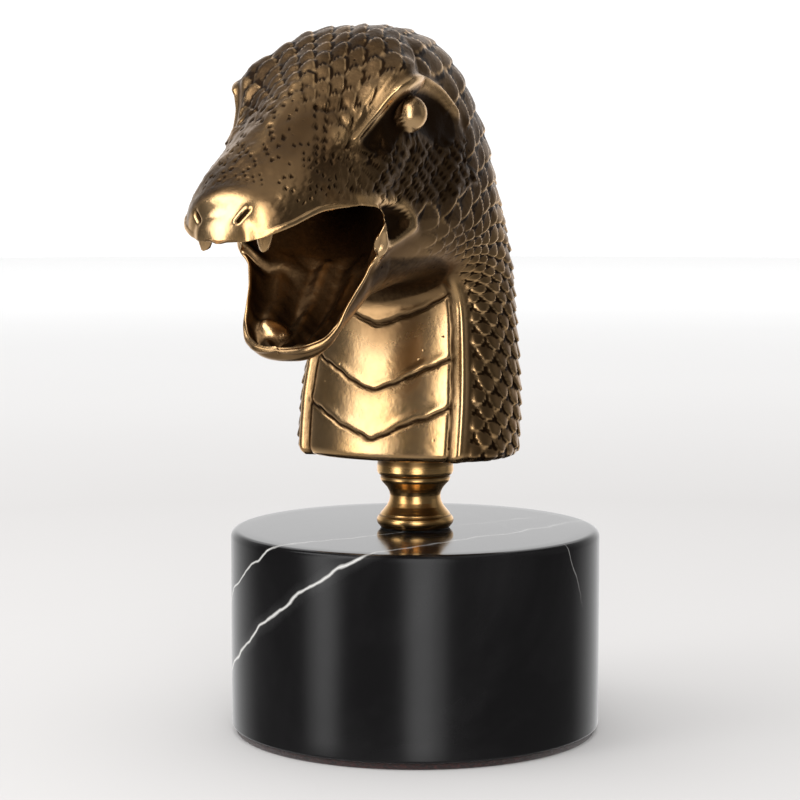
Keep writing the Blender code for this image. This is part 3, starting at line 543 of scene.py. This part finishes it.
    # Shared sides and tips
    for grid in (crown, belly):
        low = np.clip((grid[..., 2] - NECK_FOOT[2]) / 2.6, 0.0, 1.0)
        pull = 1 - 0.085 * (1 - np.sqrt(np.maximum(1 - (1 - low) ** 2, 0.0)))
        grid[..., 0] *= pull
        grid[..., 1] = NECK_FOOT[1] + (grid[..., 1] - NECK_FOOT[1]) * pull
    for grid, source in ((belly, crown), (patina_and_shade_b, patina_and_shade), (wear_and_sheen_b, wear_and_sheen)):
        grid[:rows, 0] = source[:rows, 0]
        grid[:rows, -1] = source[:rows, -1]
    crown[0, :, 2] = NECK_FOOT[2]
    belly[0, :, 2] = NECK_FOOT[2]
    crown[-1] = crown[-1, n_crown // 2]
    belly[-1] = belly[-1, n_belly // 2]

    # Inside of the mouth
    palate = mouth_sheet(tip, n_palate, crown[n_rear:], PALATE_LINE)
    floor = mouth_sheet(jaw, n_floor, belly[n_rear:], FLOOR_LINE)
    fang = np.hypot(np.abs(palate[..., 0]) - FANG_AT[0], palate[..., 1] - FANG_AT[1]) / FANG_R
    fang = 1 - ease(fang, 0.30, 1.0)
    palate[1:-1, 1:-1, 2] -= (FANG_LONG * fang + 0.3 * wander(palate, 2.0, 8.0))[1:-1, 1:-1]
    s = np.linspace(-1.0, 1.0, n_floor + 1)[None, :]
    down = np.linspace(0.0, 1.0, n_jaw + 1)[:, None]
    flat = 1 - s ** 8
    folds = 0.9 * np.cos(s * 4.0 * math.pi + 0.8 * np.sin(down * 5.0)) * flat * (1 - ease(down, 0.78, 0.95))
    folds = folds - 0.5 * flat * (1 - ease(down, 0.85, 1.0))
    ring = (floor[..., :2] - TONGUE_AT) / TONGUE_R
    ring = np.hypot(ring[..., 0], ring[..., 1])
    knob = np.sqrt(np.maximum(1 - ring ** 2, 0.0))
    folds = (folds + 0.35 * wander(floor, 1.8, 9.0) * flat) * ease(ring, 1.0, 1.6)
    floor[1:-1, 1:-1, 2] += (folds + TONGUE_HIGH * knob)[1:-1, 1:-1]
    from_side = np.minimum(np.arange(n_palate + 1), n_palate - np.arange(n_palate + 1))
    palate_hollow = np.broadcast_to(0.34 * ease(from_side, 1, 4), palate.shape[:2])
    # Painted reflection: the palate's right wall is made lighter and partly gold
    painted_far_wall_reflection = ease(-palate[..., 0], 3.0, 9.0)
    palate_hollow = palate_hollow * (1 - 0.8 * fang) * (1 - painted_far_wall_reflection)
    from_side = np.minimum(np.arange(n_floor + 1), n_floor - np.arange(n_floor + 1))
    floor_hollow = 0.56 * np.broadcast_to(ease(from_side, 1, 4), floor.shape[:2])
    floor_hollow = floor_hollow * (1 - 0.5 * ease(folds, 0.0, 0.5)) * (1 - ease(knob, 0.1, 0.4))
    front = ease(down, 0.90, 0.97)
    floor_hollow = floor_hollow * (1 - front)
    palate_wear_and_sheen = np.maximum(0.8 * fang, 0.4 * painted_far_wall_reflection)
    floor_rub = np.maximum(ease(knob, 0.2, 0.6), front)
    return ((crown, patina_and_shade, wear_and_sheen), (belly, patina_and_shade_b, wear_and_sheen_b),
            (palate, palate_hollow, palate_wear_and_sheen), (floor, floor_hollow, floor_rub))


def mouth_sheet(w, columns, skin, line):
    """Sheet spanned straight between the two lips, its height moved towards the line by 1 - |t|^2.4."""
    right, left = skin[:, :1], skin[:, -1:]
    t = np.linspace(-1.0, 1.0, columns + 1)
    s = (t[None, :, None] + 1) / 2
    sheet = right * (1 - s) + left * s
    mid = rail(w, line)[:, None]
    vault = (1 - np.abs(t) ** 2.4)[None, :, None]
    sheet[..., 1:] += (mid - ((right + left) / 2)[..., 1:]) * vault
    sheet[-1] = skin[-1, 0]
    sheet[:, 0] = skin[:, 0]
    sheet[:, -1] = skin[:, -1]
    return sheet


def head_surface():
    """Closed skin of the head: four grids that share their sides, rings to the throat, a flat underside."""
    sheets = head_sheets()
    blocks, patina_and_shade_parts, wear_and_sheen_parts, faces = [], [], [], []
    count = 0

    def add(points, patina_and_shade, wear_and_sheen):
        nonlocal count
        blocks.append(points.reshape(-1, 3))
        patina_and_shade_parts.append(np.broadcast_to(patina_and_shade, points.shape[:-1]).ravel())
        wear_and_sheen_parts.append(np.broadcast_to(wear_and_sheen, points.shape[:-1]).ravel())
        index = np.arange(count, count + points[..., 0].size).reshape(points.shape[:-1])
        count += points[..., 0].size
        return index

    def quads(index, flip):
        q = np.stack([index[:-1, :-1], index[1:, :-1], index[1:, 1:], index[:-1, 1:]], -1).reshape(-1, 4)
        faces.append(q[:, ::-1] if flip else q)

    ic, ib, ip, jf = (add(*sheet) for sheet in sheets)
    rear = ic.shape[0] - ip.shape[0]
    ib[:rear + 1, 0] = ic[:rear + 1, 0]
    ib[:rear + 1, -1] = ic[:rear + 1, -1]
    for grid, skin, start in ((ip, ic, rear), (jf, ib, rear)):
        grid[:, 0] = skin[start:, 0]
        grid[:, -1] = skin[start:, -1]
    for grid, pole in ((ic, ic), (ip, ic), (ib, ib), (jf, ib)):
        grid[-1] = pole[-1, 0]
    quads(ic, True)
    quads(ib, False)
    quads(ip, False)
    quads(jf, True)
    ring = np.concatenate([ip[0], jf[0][::-1][1:-1]])
    loop = np.concatenate(blocks)[ring]
    for keep in (0.94, 0.87, 0.78, 0.68, 0.57, 0.45, 0.32, 0.18, 0.06):
        inner = add(THROAT + (loop - THROAT) * keep, 0.5 + 0.4 * (1 - keep), 0.0)
        quads(np.stack([np.append(ring, ring[0]), np.append(inner, inner[0])]), True)
        ring = inner
    end = add(THROAT[None], 1.0, 0.0)
    tip = np.full(len(ring), end[0])
    faces.append(np.stack([ring, np.roll(ring, -1), tip, tip], -1))
    ring = np.concatenate([ic[0], ib[0][::-1][1:-1]])
    loop = np.concatenate(blocks)[ring]
    for keep in (0.97, 0.6):
        inner = add(NECK_FOOT + (loop - NECK_FOOT) * keep, 0.35, 0.2)
        quads(np.stack([np.append(ring, ring[0]), np.append(inner, inner[0])]), False)
        ring = inner
    end = add(NECK_FOOT[None], 0.35, 0.2)
    tip = np.full(len(ring), end[0])
    faces.append(np.stack([np.roll(ring, -1), ring, tip, tip], -1))
    return np.concatenate(blocks), np.concatenate(faces), np.concatenate(patina_and_shade_parts), np.concatenate(wear_and_sheen_parts)


# Meshes

def to_world(p):
    """Left, forward, up in millimetres to metres with the snake looking along -Y."""
    return np.stack([p[..., 0], -p[..., 1], p[..., 2]], -1) * MM


def make_piece(name, points, quads, material, fields=None, smooth=True):
    """Mesh object from arrays: unused points dropped, quads with a doubled corner made triangles.
    The grids run clockwise seen from outside, so the corner order is turned and faces look outward."""
    quads = np.asarray(quads)[:, ::-1]
    used, back = np.unique(quads, return_inverse=True)
    quads = back.reshape(quads.shape)
    points = points[used]
    same = quads == np.roll(quads, -1, axis=1)
    full = quads[same.sum(axis=1) == 0]
    once = same.sum(axis=1) == 1
    tri = quads[once]
    keep = ~same[once]
    tri = tri[keep].reshape(-1, 3)
    loops = np.concatenate([full.ravel(), tri.ravel()]).astype(np.int32)
    totals = np.concatenate([np.full(len(full), 4), np.full(len(tri), 3)]).astype(np.int32)
    starts = np.concatenate([[0], np.cumsum(totals)[:-1]]).astype(np.int32)
    mesh = bpy.data.meshes.new(name)
    mesh.vertices.add(len(points))
    mesh.vertices.foreach_set("co", np.ascontiguousarray(points, np.float32).ravel())
    mesh.loops.add(len(loops))
    mesh.loops.foreach_set("vertex_index", loops)
    mesh.polygons.add(len(totals))
    mesh.polygons.foreach_set("loop_start", starts)
    mesh.polygons.foreach_set("loop_total", totals)
    mesh.update(calc_edges=True)
    mesh.validate()
    for key, value in (fields or {}).items():
        layer = mesh.attributes.new(key, "FLOAT", "POINT")
        layer.data.foreach_set("value", np.ascontiguousarray(value[used], np.float32))
    if smooth:
        mesh.shade_smooth()
    obj = bpy.data.objects.new(name, mesh)
    bpy.context.scene.collection.objects.link(obj)
    mesh.materials.append(material)
    return obj


def turned_surface(outline, steps):
    """Outline of radius and height carried round the upright axis; the points on the axis are poles."""
    turn = np.linspace(0.0, 2 * math.pi, steps, endpoint=False)
    r, z = outline[:, :1], outline[:, 1:]
    p = np.stack([r * np.cos(turn), r * np.sin(turn), z + 0 * turn], -1)
    index = np.arange(p[..., 0].size).reshape(p.shape[:-1])
    index = np.concatenate([index, index[:, :1]], axis=1)
    for pole in (0, -1):
        index[pole] = index[pole, 0]
    q = np.stack([index[:-1, :-1], index[:-1, 1:], index[1:, 1:], index[1:, :-1]], -1).reshape(-1, 4)
    return p.reshape(-1, 3) * MM, q


def rounded(corners, step):
    """Outline through corner points with a radius each: every corner becomes a quarter-like arc,
    a quadratic curve between the points one radius before and after it; long runs are cut up."""
    pts = [np.array(corners[0][:2], float)]
    for before, here, after in zip(corners[:-2], corners[1:-1], corners[2:]):
        b, h, a = (np.array(c[:2], float) for c in (before, here, after))
        into = h + (b - h) / np.linalg.norm(b - h) * here[2]
        out = h + (a - h) / np.linalg.norm(a - h) * here[2]
        s = np.linspace(0.0, 1.0, 9)[:, None]
        pts.extend((1 - s) ** 2 * into + 2 * s * (1 - s) * h + s * s * out)
    pts.append(np.array(corners[-1][:2], float))
    dense = [pts[0]]
    for p in pts[1:]:
        cuts = max(1, int(np.linalg.norm(p - dense[-1]) / step))
        start = dense[-1]
        dense.extend(start + (p - start) * k / cuts for k in range(1, cuts + 1))
    return np.array(dense)


# Shader sums

class Val:
    """A socket or number in a material, with arithmetic that adds Math nodes."""

    def __init__(self, tree, socket):
        self.tree = tree
        self.socket = socket

    def _math(self, operation, *terms, clamp=False):
        node = self.tree.nodes.new("ShaderNodeMath")
        node.operation = operation
        node.use_clamp = clamp
        for slot, term in zip(node.inputs, terms):
            if isinstance(term, Val):
                self.tree.links.new(term.socket, slot)
            else:
                slot.default_value = term
        return Val(self.tree, node.outputs[0])

    def __add__(self, other):
        return self._math("ADD", self, other)

    __radd__ = __add__

    def __mul__(self, other):
        return self._math("MULTIPLY", self, other)

    __rmul__ = __mul__

    def __sub__(self, other):
        return self._math("SUBTRACT", self, other)

    def __rsub__(self, other):
        return self._math("SUBTRACT", other, self)

    def power(self, other):
        return self._math("POWER", self, other)

    def size(self):
        return self._math("ABSOLUTE", self)

    def clip(self):
        return self._math("ADD", self, 0.0, clamp=True)

    def ramp(self, low, high):
        """0 at low, 1 at high, straight between and clamped."""
        return self._math("MULTIPLY_ADD", self, 1.0 / (high - low), -low / (high - low), clamp=True)


class Finish:
    """A new material and the few ways of adding nodes to it."""

    def __init__(self, name):
        self.material = bpy.data.materials.new(name)
        self.material.use_nodes = True
        self.tree = self.material.node_tree
        self.shader = self.tree.nodes["Principled BSDF"]

    def node(self, kind, settings=None, outlet=0, **sockets):
        made = self.tree.nodes.new(kind)
        for key, value in (settings or {}).items():
            setattr(made, key, value)
        for key, value in sockets.items():
            slot = made.inputs[int(key[1:])] if key[0] == "i" and key[1:].isdigit() else made.inputs[key]
            if isinstance(value, Val):
                self.tree.links.new(value.socket, slot)
            else:
                slot.default_value = value
        return Val(self.tree, made.outputs[outlet])

    def place(self):
        return self.node("ShaderNodeTexCoord", outlet=3)

    def field(self, name):
        return self.node("ShaderNodeAttribute", {"attribute_name": name}, outlet=2)

    def noise(self, scale, detail=4.0, rough=0.55, vector=None, warp=0.0):
        return self.node("ShaderNodeTexNoise", Vector=vector or self.place(), Scale=scale, Detail=detail,
                         Roughness=rough, Distortion=warp)

    def blend(self, factor, first, second):
        made = self.tree.nodes.new("ShaderNodeMix")
        made.data_type = "RGBA"
        for slot, value in ((made.inputs[0], factor), (made.inputs[6], first), (made.inputs[7], second)):
            if isinstance(value, Val):
                self.tree.links.new(value.socket, slot)
            elif isinstance(value, tuple):
                slot.default_value = (*value, 1.0)
            else:
                slot.default_value = value
        return Val(self.tree, made.outputs[2])

    def apart(self, vector):
        made = self.tree.nodes.new("ShaderNodeSeparateXYZ")
        self.tree.links.new(vector.socket, made.inputs[0])
        return tuple(Val(self.tree, out) for out in made.outputs)

    def feed(self, **sockets):
        for key, value in sockets.items():
            slot = self.shader.inputs[key.replace("_", " ")]
            if isinstance(value, Val):
                self.tree.links.new(value.socket, slot)
            elif isinstance(value, tuple):
                slot.default_value = (*value, 1.0)
            else:
                slot.default_value = value

    def bump(self, height, depth, strength=1.0):
        made = self.node("ShaderNodeBump", Height=height, Distance=depth, Strength=strength)
        self.feed(Normal=made)


def bronze_finish():
    """Cast bronze: gold where rubbed and where a few highlights are painted, brown on the open skin, nearly
    black in the patina of the hollows and where shade is painted.
    """
    f = Finish("cast_bronze")
    patina_and_shade, wear_and_sheen = f.field("patina_and_shade"), f.field("wear_and_sheen")
    cloud = f.noise(90.0, 5.0, 0.6)
    grain = f.noise(900.0, 4.0, 0.6)
    patch = f.noise(34.0, 3.0, 0.5, warp=0.6)
    # Gold mix: real wear plus the painted highlights and painted reflection held in the same attribute
    worn_and_sheen = (wear_and_sheen + (cloud - 0.5) * 0.55 + (patch - 0.5) * 0.4).ramp(0.12, 0.80)
    pits = f.node("ShaderNodeTexVoronoi", {"feature": "F1"}, Vector=f.place(), Scale=420.0)
    pits = 1.0 - pits.ramp(0.02, 0.16)
    pitted = pits * f.noise(60.0, 2.0).ramp(0.52, 0.62)
    # Dark mix: patina in the hollows plus the painted shade held in the same attribute, with grain and pits
    deep = (patina_and_shade + (grain - 0.5) * 0.40 + (cloud - 0.5) * 0.30 + pitted * 0.7).ramp(0.22, 0.80)
    gold = f.blend(cloud.ramp(0.35, 0.65), (0.85, 0.56, 0.29), (0.76, 0.46, 0.20))
    brown = f.blend(patch.ramp(0.35, 0.68), (0.16, 0.090, 0.040), (0.40, 0.245, 0.115))
    brown = f.blend(cloud.ramp(0.60, 0.78) * 0.5, brown, (0.34, 0.155, 0.050))
    skin = f.blend(worn_and_sheen, brown, gold)
    colour = f.blend(deep, skin, (0.034, 0.017, 0.007))
    f.feed(Base_Color=colour, Metallic=1.0)
    uneven = (grain - 0.5) * 0.10 + (cloud - 0.5) * 0.10
    f.feed(Roughness=(0.31 - worn_and_sheen * 0.09 + deep * 0.16 + uneven).clip())
    height = f.noise(300.0, 5.0, 0.6) * 0.6 + grain * 0.30 - pitted * 0.9
    f.bump(height * (1.0 + deep * 1.2), 0.00018, 0.55)
    return f.material


def brass_finish():
    """Turned brass: polished, with fine rings from the lathe and brown in the narrow places, where painted
    shade and painted shadow also darken it.
    """
    f = Finish("turned_brass")
    _, _, z = f.apart(f.place())
    ring = f.node("ShaderNodeTexNoise", {"noise_dimensions": "1D"}, W=z * 5200.0, Scale=1.0, Detail=3.0)
    cloud = f.noise(120.0, 4.0, 0.6)
    # Dark mix from the mesh attribute: narrow grooves plus painted shade at the foot and painted shadow
    # under the head
    deep = (f.field("patina_and_shade") + (cloud - 0.5) * 0.4).ramp(0.25, 0.85)
    gold = f.blend(cloud.ramp(0.35, 0.65), (0.88, 0.55, 0.23), (0.74, 0.42, 0.15))
    f.feed(Base_Color=f.blend(deep * 0.85, gold, (0.06, 0.030, 0.012)), Metallic=1.0)
    f.feed(Roughness=(0.24 + deep * 0.20 + (cloud - 0.5) * 0.10 + (ring - 0.5) * 0.06).clip())
    f.bump(ring * 0.7 + f.noise(800.0, 3.0) * 0.3, 0.00005, 0.5)
    return f.material


def marble_finish():
    """Polished black marble: white veins where slightly wavy planes cut the stone, and grey clouds."""
    f = Finish("black_marble")
    x, y, z = f.apart(f.place())
    bend = f.noise(28.0, 5.0, 0.62)
    fine = f.noise(160.0, 4.0, 0.6)
    cloud = f.noise(16.0, 5.0, 0.6, warp=0.8)
    kink = f.noise(110.0, 2.0, 0.5)
    top = z.ramp(0.0468, 0.0479)

    def vein(a, b, c, d, wave, width):
        wavy = (bend - 0.5) * wave * MM + (kink - 0.5) * 2.8 * MM + (fine - 0.5) * 0.7 * MM
        return 1.0 - (x * a + y * b + z * c - d * MM + wavy).size().ramp(0.0, width * MM)

    main = vein(*MAIN_VEIN, 3.0, 0.46)
    halo = vein(*MAIN_VEIN, 3.0, 2.4)
    second = vein(*SECOND_VEIN, 2.5, 0.34)
    third = vein(*THIRD_VEIN, 4.0, 0.30) * cloud.ramp(0.42, 0.60)
    fourth = vein(*FOURTH_VEIN, 4.0, 0.26) * cloud.ramp(0.40, 0.55)
    thread = f.node("ShaderNodeTexVoronoi", {"feature": "DISTANCE_TO_EDGE"},
                    Vector=f.node("ShaderNodeVectorMath", {"operation": "ADD"}, i0=f.place(),
                                  i1=f.node("ShaderNodeVectorMath", {"operation": "SCALE"},
                                            i0=f.node("ShaderNodeTexNoise", outlet=1, Vector=f.place(),
                                                      Scale=30.0, Detail=3.0), Scale=0.02)), Scale=26.0)
    thread = (1.0 - thread.ramp(0.0, 0.012)) * f.noise(22.0, 2.0).ramp(0.64, 0.74)
    rear = 1.0 - y.ramp(0.005, 0.030) * (1.0 - cloud.ramp(0.50, 0.56)) * 0.85
    light = (main * rear * (0.55 + 0.45 * cloud) + second * rear * 0.75 + thread * 0.04
             + (third + fourth) * 0.35 * z.ramp(0.032, 0.042))
    light = (light * (1.0 - top * 0.55)).clip()
    ground = f.blend(cloud.ramp(0.45, 0.75), (0.0045, 0.0042, 0.0045), (0.011, 0.0105, 0.011))
    ground = f.blend(halo * 0.10 * cloud.ramp(0.35, 0.6), ground, (0.25, 0.25, 0.25))
    f.feed(Base_Color=f.blend(light, ground, (0.74, 0.73, 0.70)), Metallic=0.0)
    f.feed(Roughness=(0.22 - top * 0.10 + light * 0.08 + (fine - 0.5) * 0.03).clip(), IOR=1.32)
    f.bump(light * -0.4 + fine * 0.15, 0.00006, 0.35)
    return f.material


def felt_finish():
    """Pressed dark red wool: fibre noise in colour and height."""
    f = Finish("red_felt")
    fibre = f.noise(1800.0, 4.0, 0.7, warp=1.5)
    cloud = f.noise(200.0, 3.0)
    wool = f.blend(fibre.ramp(0.45, 0.75), (0.006, 0.004, 0.004), (0.085, 0.018, 0.014))
    f.feed(Base_Color=wool, Metallic=0.0)
    f.feed(Roughness=(0.90 + (cloud - 0.5) * 0.1).clip(), Sheen_Weight=0.4)
    f.bump(fibre, 0.0003, 0.8)
    return f.material


def floor_finish():
    """Pale matt ground with a barely uneven tone; painted light makes it grey near the figure and lighter
    with distance from it.
    """
    f = Finish("pale_floor")
    x, y, _ = f.apart(f.place())
    tone = f.noise(3.0, 2.0)
    painted_light_falloff = (x * x + y * y).power(0.5).ramp(0.40, 1.90)
    f.feed(Base_Color=f.blend((painted_light_falloff + (tone - 0.5) * 0.05).clip(), (0.52, 0.51, 0.505), (0.98, 0.98, 0.98)))
    f.feed(Roughness=0.9 + (tone - 0.5) * 0.05, Specular_IOR_Level=0.0, IOR=1.0)
    return f.material


def plane_through(a, b, c):
    """Unit normal and distance of the plane through three points, millimetres."""
    a, b, c = (np.array(v, float) for v in (a, b, c))
    n = np.cross(b - a, c - a)
    n = n / np.linalg.norm(n)
    return (*(float(k) for k in n), float(n @ a))


MAIN_VEIN = (-0.538, 0.168, 0.826, 27.5)
SECOND_VEIN = plane_through((-20.3, -38.3, 44.0), (-29.0, -32.3, 37.3), (-6.0, -22.0, 47.9))
THIRD_VEIN = plane_through((-28.8, -24.4, 47.9), (-9.7, -14.2, 47.9), (-22.0, -24.0, 10.0))
FOURTH_VEIN = plane_through((43.1, -8.2, 47.9), (43.2, -4.2, 40.5), (20.0, 12.0, 44.0))

# Pieces

bronze = bronze_finish()
points, quads, patina_and_shade, wear_and_sheen = head_surface()
head = make_piece("cast_head", to_world(points), quads, bronze, {"patina_and_shade": patina_and_shade, "wear_and_sheen": wear_and_sheen})
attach(head, "root")
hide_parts("snake_head")

outline = rounded([(0.0, 65.7, 0)] + [(r, z, 0.22) for r, z in STEM_OUTLINE[1:-1]] + [(0.0, 48.2, 0)], 0.5)
points, quads = turned_surface(outline, 96)
height = points[:, 2] / MM
# Darker in the two narrow grooves; painted shade at the foot on the marble and painted shadow under the
# head at the top
deep = 0.7 * hump(height - 60.2, 0.35) + 0.6 * hump(height - 51.0, 0.3) + 0.8 * hump(height - 48.2, 0.6)
deep = np.maximum(deep, 0.8 * ease(height, 62.2, 63.6))
stem = make_piece("turned_stem", points, quads, brass_finish(), {"patina_and_shade": deep})
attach(stem, "root")
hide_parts("brass_stem")

outline = rounded([(0.0, BASE_TOP, 0), (BASE_R, BASE_TOP, BASE_BEVEL), (BASE_R, FELT_T + GAP, 0.5),
                   (0.0, FELT_T + GAP, 0)], 3.0)
points, quads = turned_surface(outline, 192)
base = make_piece("marble_cylinder", points, quads, marble_finish())
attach(base, "root")
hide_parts("marble_base")

outline = rounded([(0.0, FELT_T, 0), (FELT_R, FELT_T, 0.3), (FELT_R, 0.0, 0.3), (0.0, 0.0, 0)], 2.0)
points, quads = turned_surface(outline, 192)
felt = make_piece("felt_disc", points, quads, felt_finish())
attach(felt, "root")
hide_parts("felt_pad")

# Floor, light, camera

VIEW_TURN, VIEW_DROP = math.radians(28.0), 0.0962
FLOOR_R, FLOOR_T = 3000.0, 20.0
outline = np.array([(0.0, 0.0), (FLOOR_R, 0.0), (FLOOR_R, -FLOOR_T), (0.0, -FLOOR_T)])
points, quads = turned_surface(outline, 96)
floor = make_piece("pale_floor", points, quads, floor_finish(), smooth=False)
floor.visible_glossy = False

world = bpy.data.worlds.new("studio")
bpy.context.scene.world = world
world.use_nodes = True
world.cycles.sampling_method = "NONE"
sky = world.node_tree
background = sky.nodes["Background"]
background.inputs[0].default_value = (1.0, 1.0, 1.0, 1.0)
path = sky.nodes.new("ShaderNodeLightPath")
toward = sky.nodes.new("ShaderNodeVectorMath")
toward.operation = "DOT_PRODUCT"
sky.links.new(sky.nodes.new("ShaderNodeTexCoord").outputs["Generated"], toward.inputs[0])
toward.inputs[1].default_value = (-0.469, 0.883, 0.0)
rise = sky.nodes.new("ShaderNodeSeparateXYZ")
sky.links.new(toward.inputs[0].links[0].from_socket, rise.inputs[0])
up = Val(sky, rise.outputs["Z"])
wall = Val(sky, toward.outputs["Value"]).ramp(0.40, 0.95) * (1.0 - up.ramp(0.15, 0.60) * 0.80) * 1.2
wall = wall + up.ramp(-0.10, -0.60) * 0.34 + 0.08
mix = sky.nodes.new("ShaderNodeMix")
mix.inputs[2].default_value = 1.15
sky.links.new(path.outputs["Is Glossy Ray"], mix.inputs[0])
sky.links.new(wall.socket, mix.inputs[3])
sky.links.new(mix.outputs[0], background.inputs[1])


def softbox(name, azimuth, elevation, distance, wide, tall, power, aim=(0.0, -0.02, 0.10)):
    """Rectangular lamp facing the figure; azimuth is counted from the photograph's camera."""
    light = bpy.data.lights.new(name, "AREA")
    light.shape = "RECTANGLE"
    light.size, light.size_y = wide, tall
    light.energy = power
    obj = bpy.data.objects.new(name, light)
    bpy.context.scene.collection.objects.link(obj)
    a, e = VIEW_TURN + math.radians(azimuth), math.radians(elevation)
    way = Vector((math.sin(a) * math.cos(e), -math.cos(a) * math.cos(e), math.sin(e)))
    spot = Vector(aim) + way * distance
    obj.location = spot
    obj.rotation_euler = (Vector(aim) - spot).to_track_quat("-Z", "Y").to_euler()
    return obj


softbox("left_softbox", -58.0, 20.0, 0.9, 0.44, 1.50, 3.4)
softbox("left_core", -57.0, 20.0, 0.9, 0.22, 1.50, 1.9)
softbox("high_softbox", -88.0, 50.0, 1.0, 0.40, 0.40, 1.5)
softbox("front_softbox", 6.0, 18.0, 1.3, 0.66, 2.10, 8.5)
softbox("front_core", 4.0, 16.0, 1.3, 0.33, 2.10, 3.6)
softbox("right_softbox", 95.0, 20.0, 0.9, 0.40, 0.85, 0.15)
softbox("top_softbox", 0.0, 88.0, 1.0, 1.1, 1.1, 1.35)
softbox("back_softbox", 180.0, 35.0, 1.1, 0.9, 0.5, 1.0)

camera_data = bpy.data.cameras.new("photo_camera")
camera_data.lens = 109.95
camera_data.sensor_width = 36.0
camera_data.clip_start = 0.01
camera = bpy.data.objects.new("photo_camera", camera_data)
bpy.context.scene.collection.objects.link(camera)
reach, aside, height = 571.33, -3.585, 133.14
camera.location = ((aside * math.cos(VIEW_TURN) + reach * math.sin(VIEW_TURN)) * MM,
                   (aside * math.sin(VIEW_TURN) - reach * math.cos(VIEW_TURN)) * MM, height * MM)
camera.rotation_euler = (math.pi / 2 - VIEW_DROP, 0.0, VIEW_TURN)
bpy.context.scene.camera = camera
bpy.context.scene.view_settings.view_transform = "Standard"
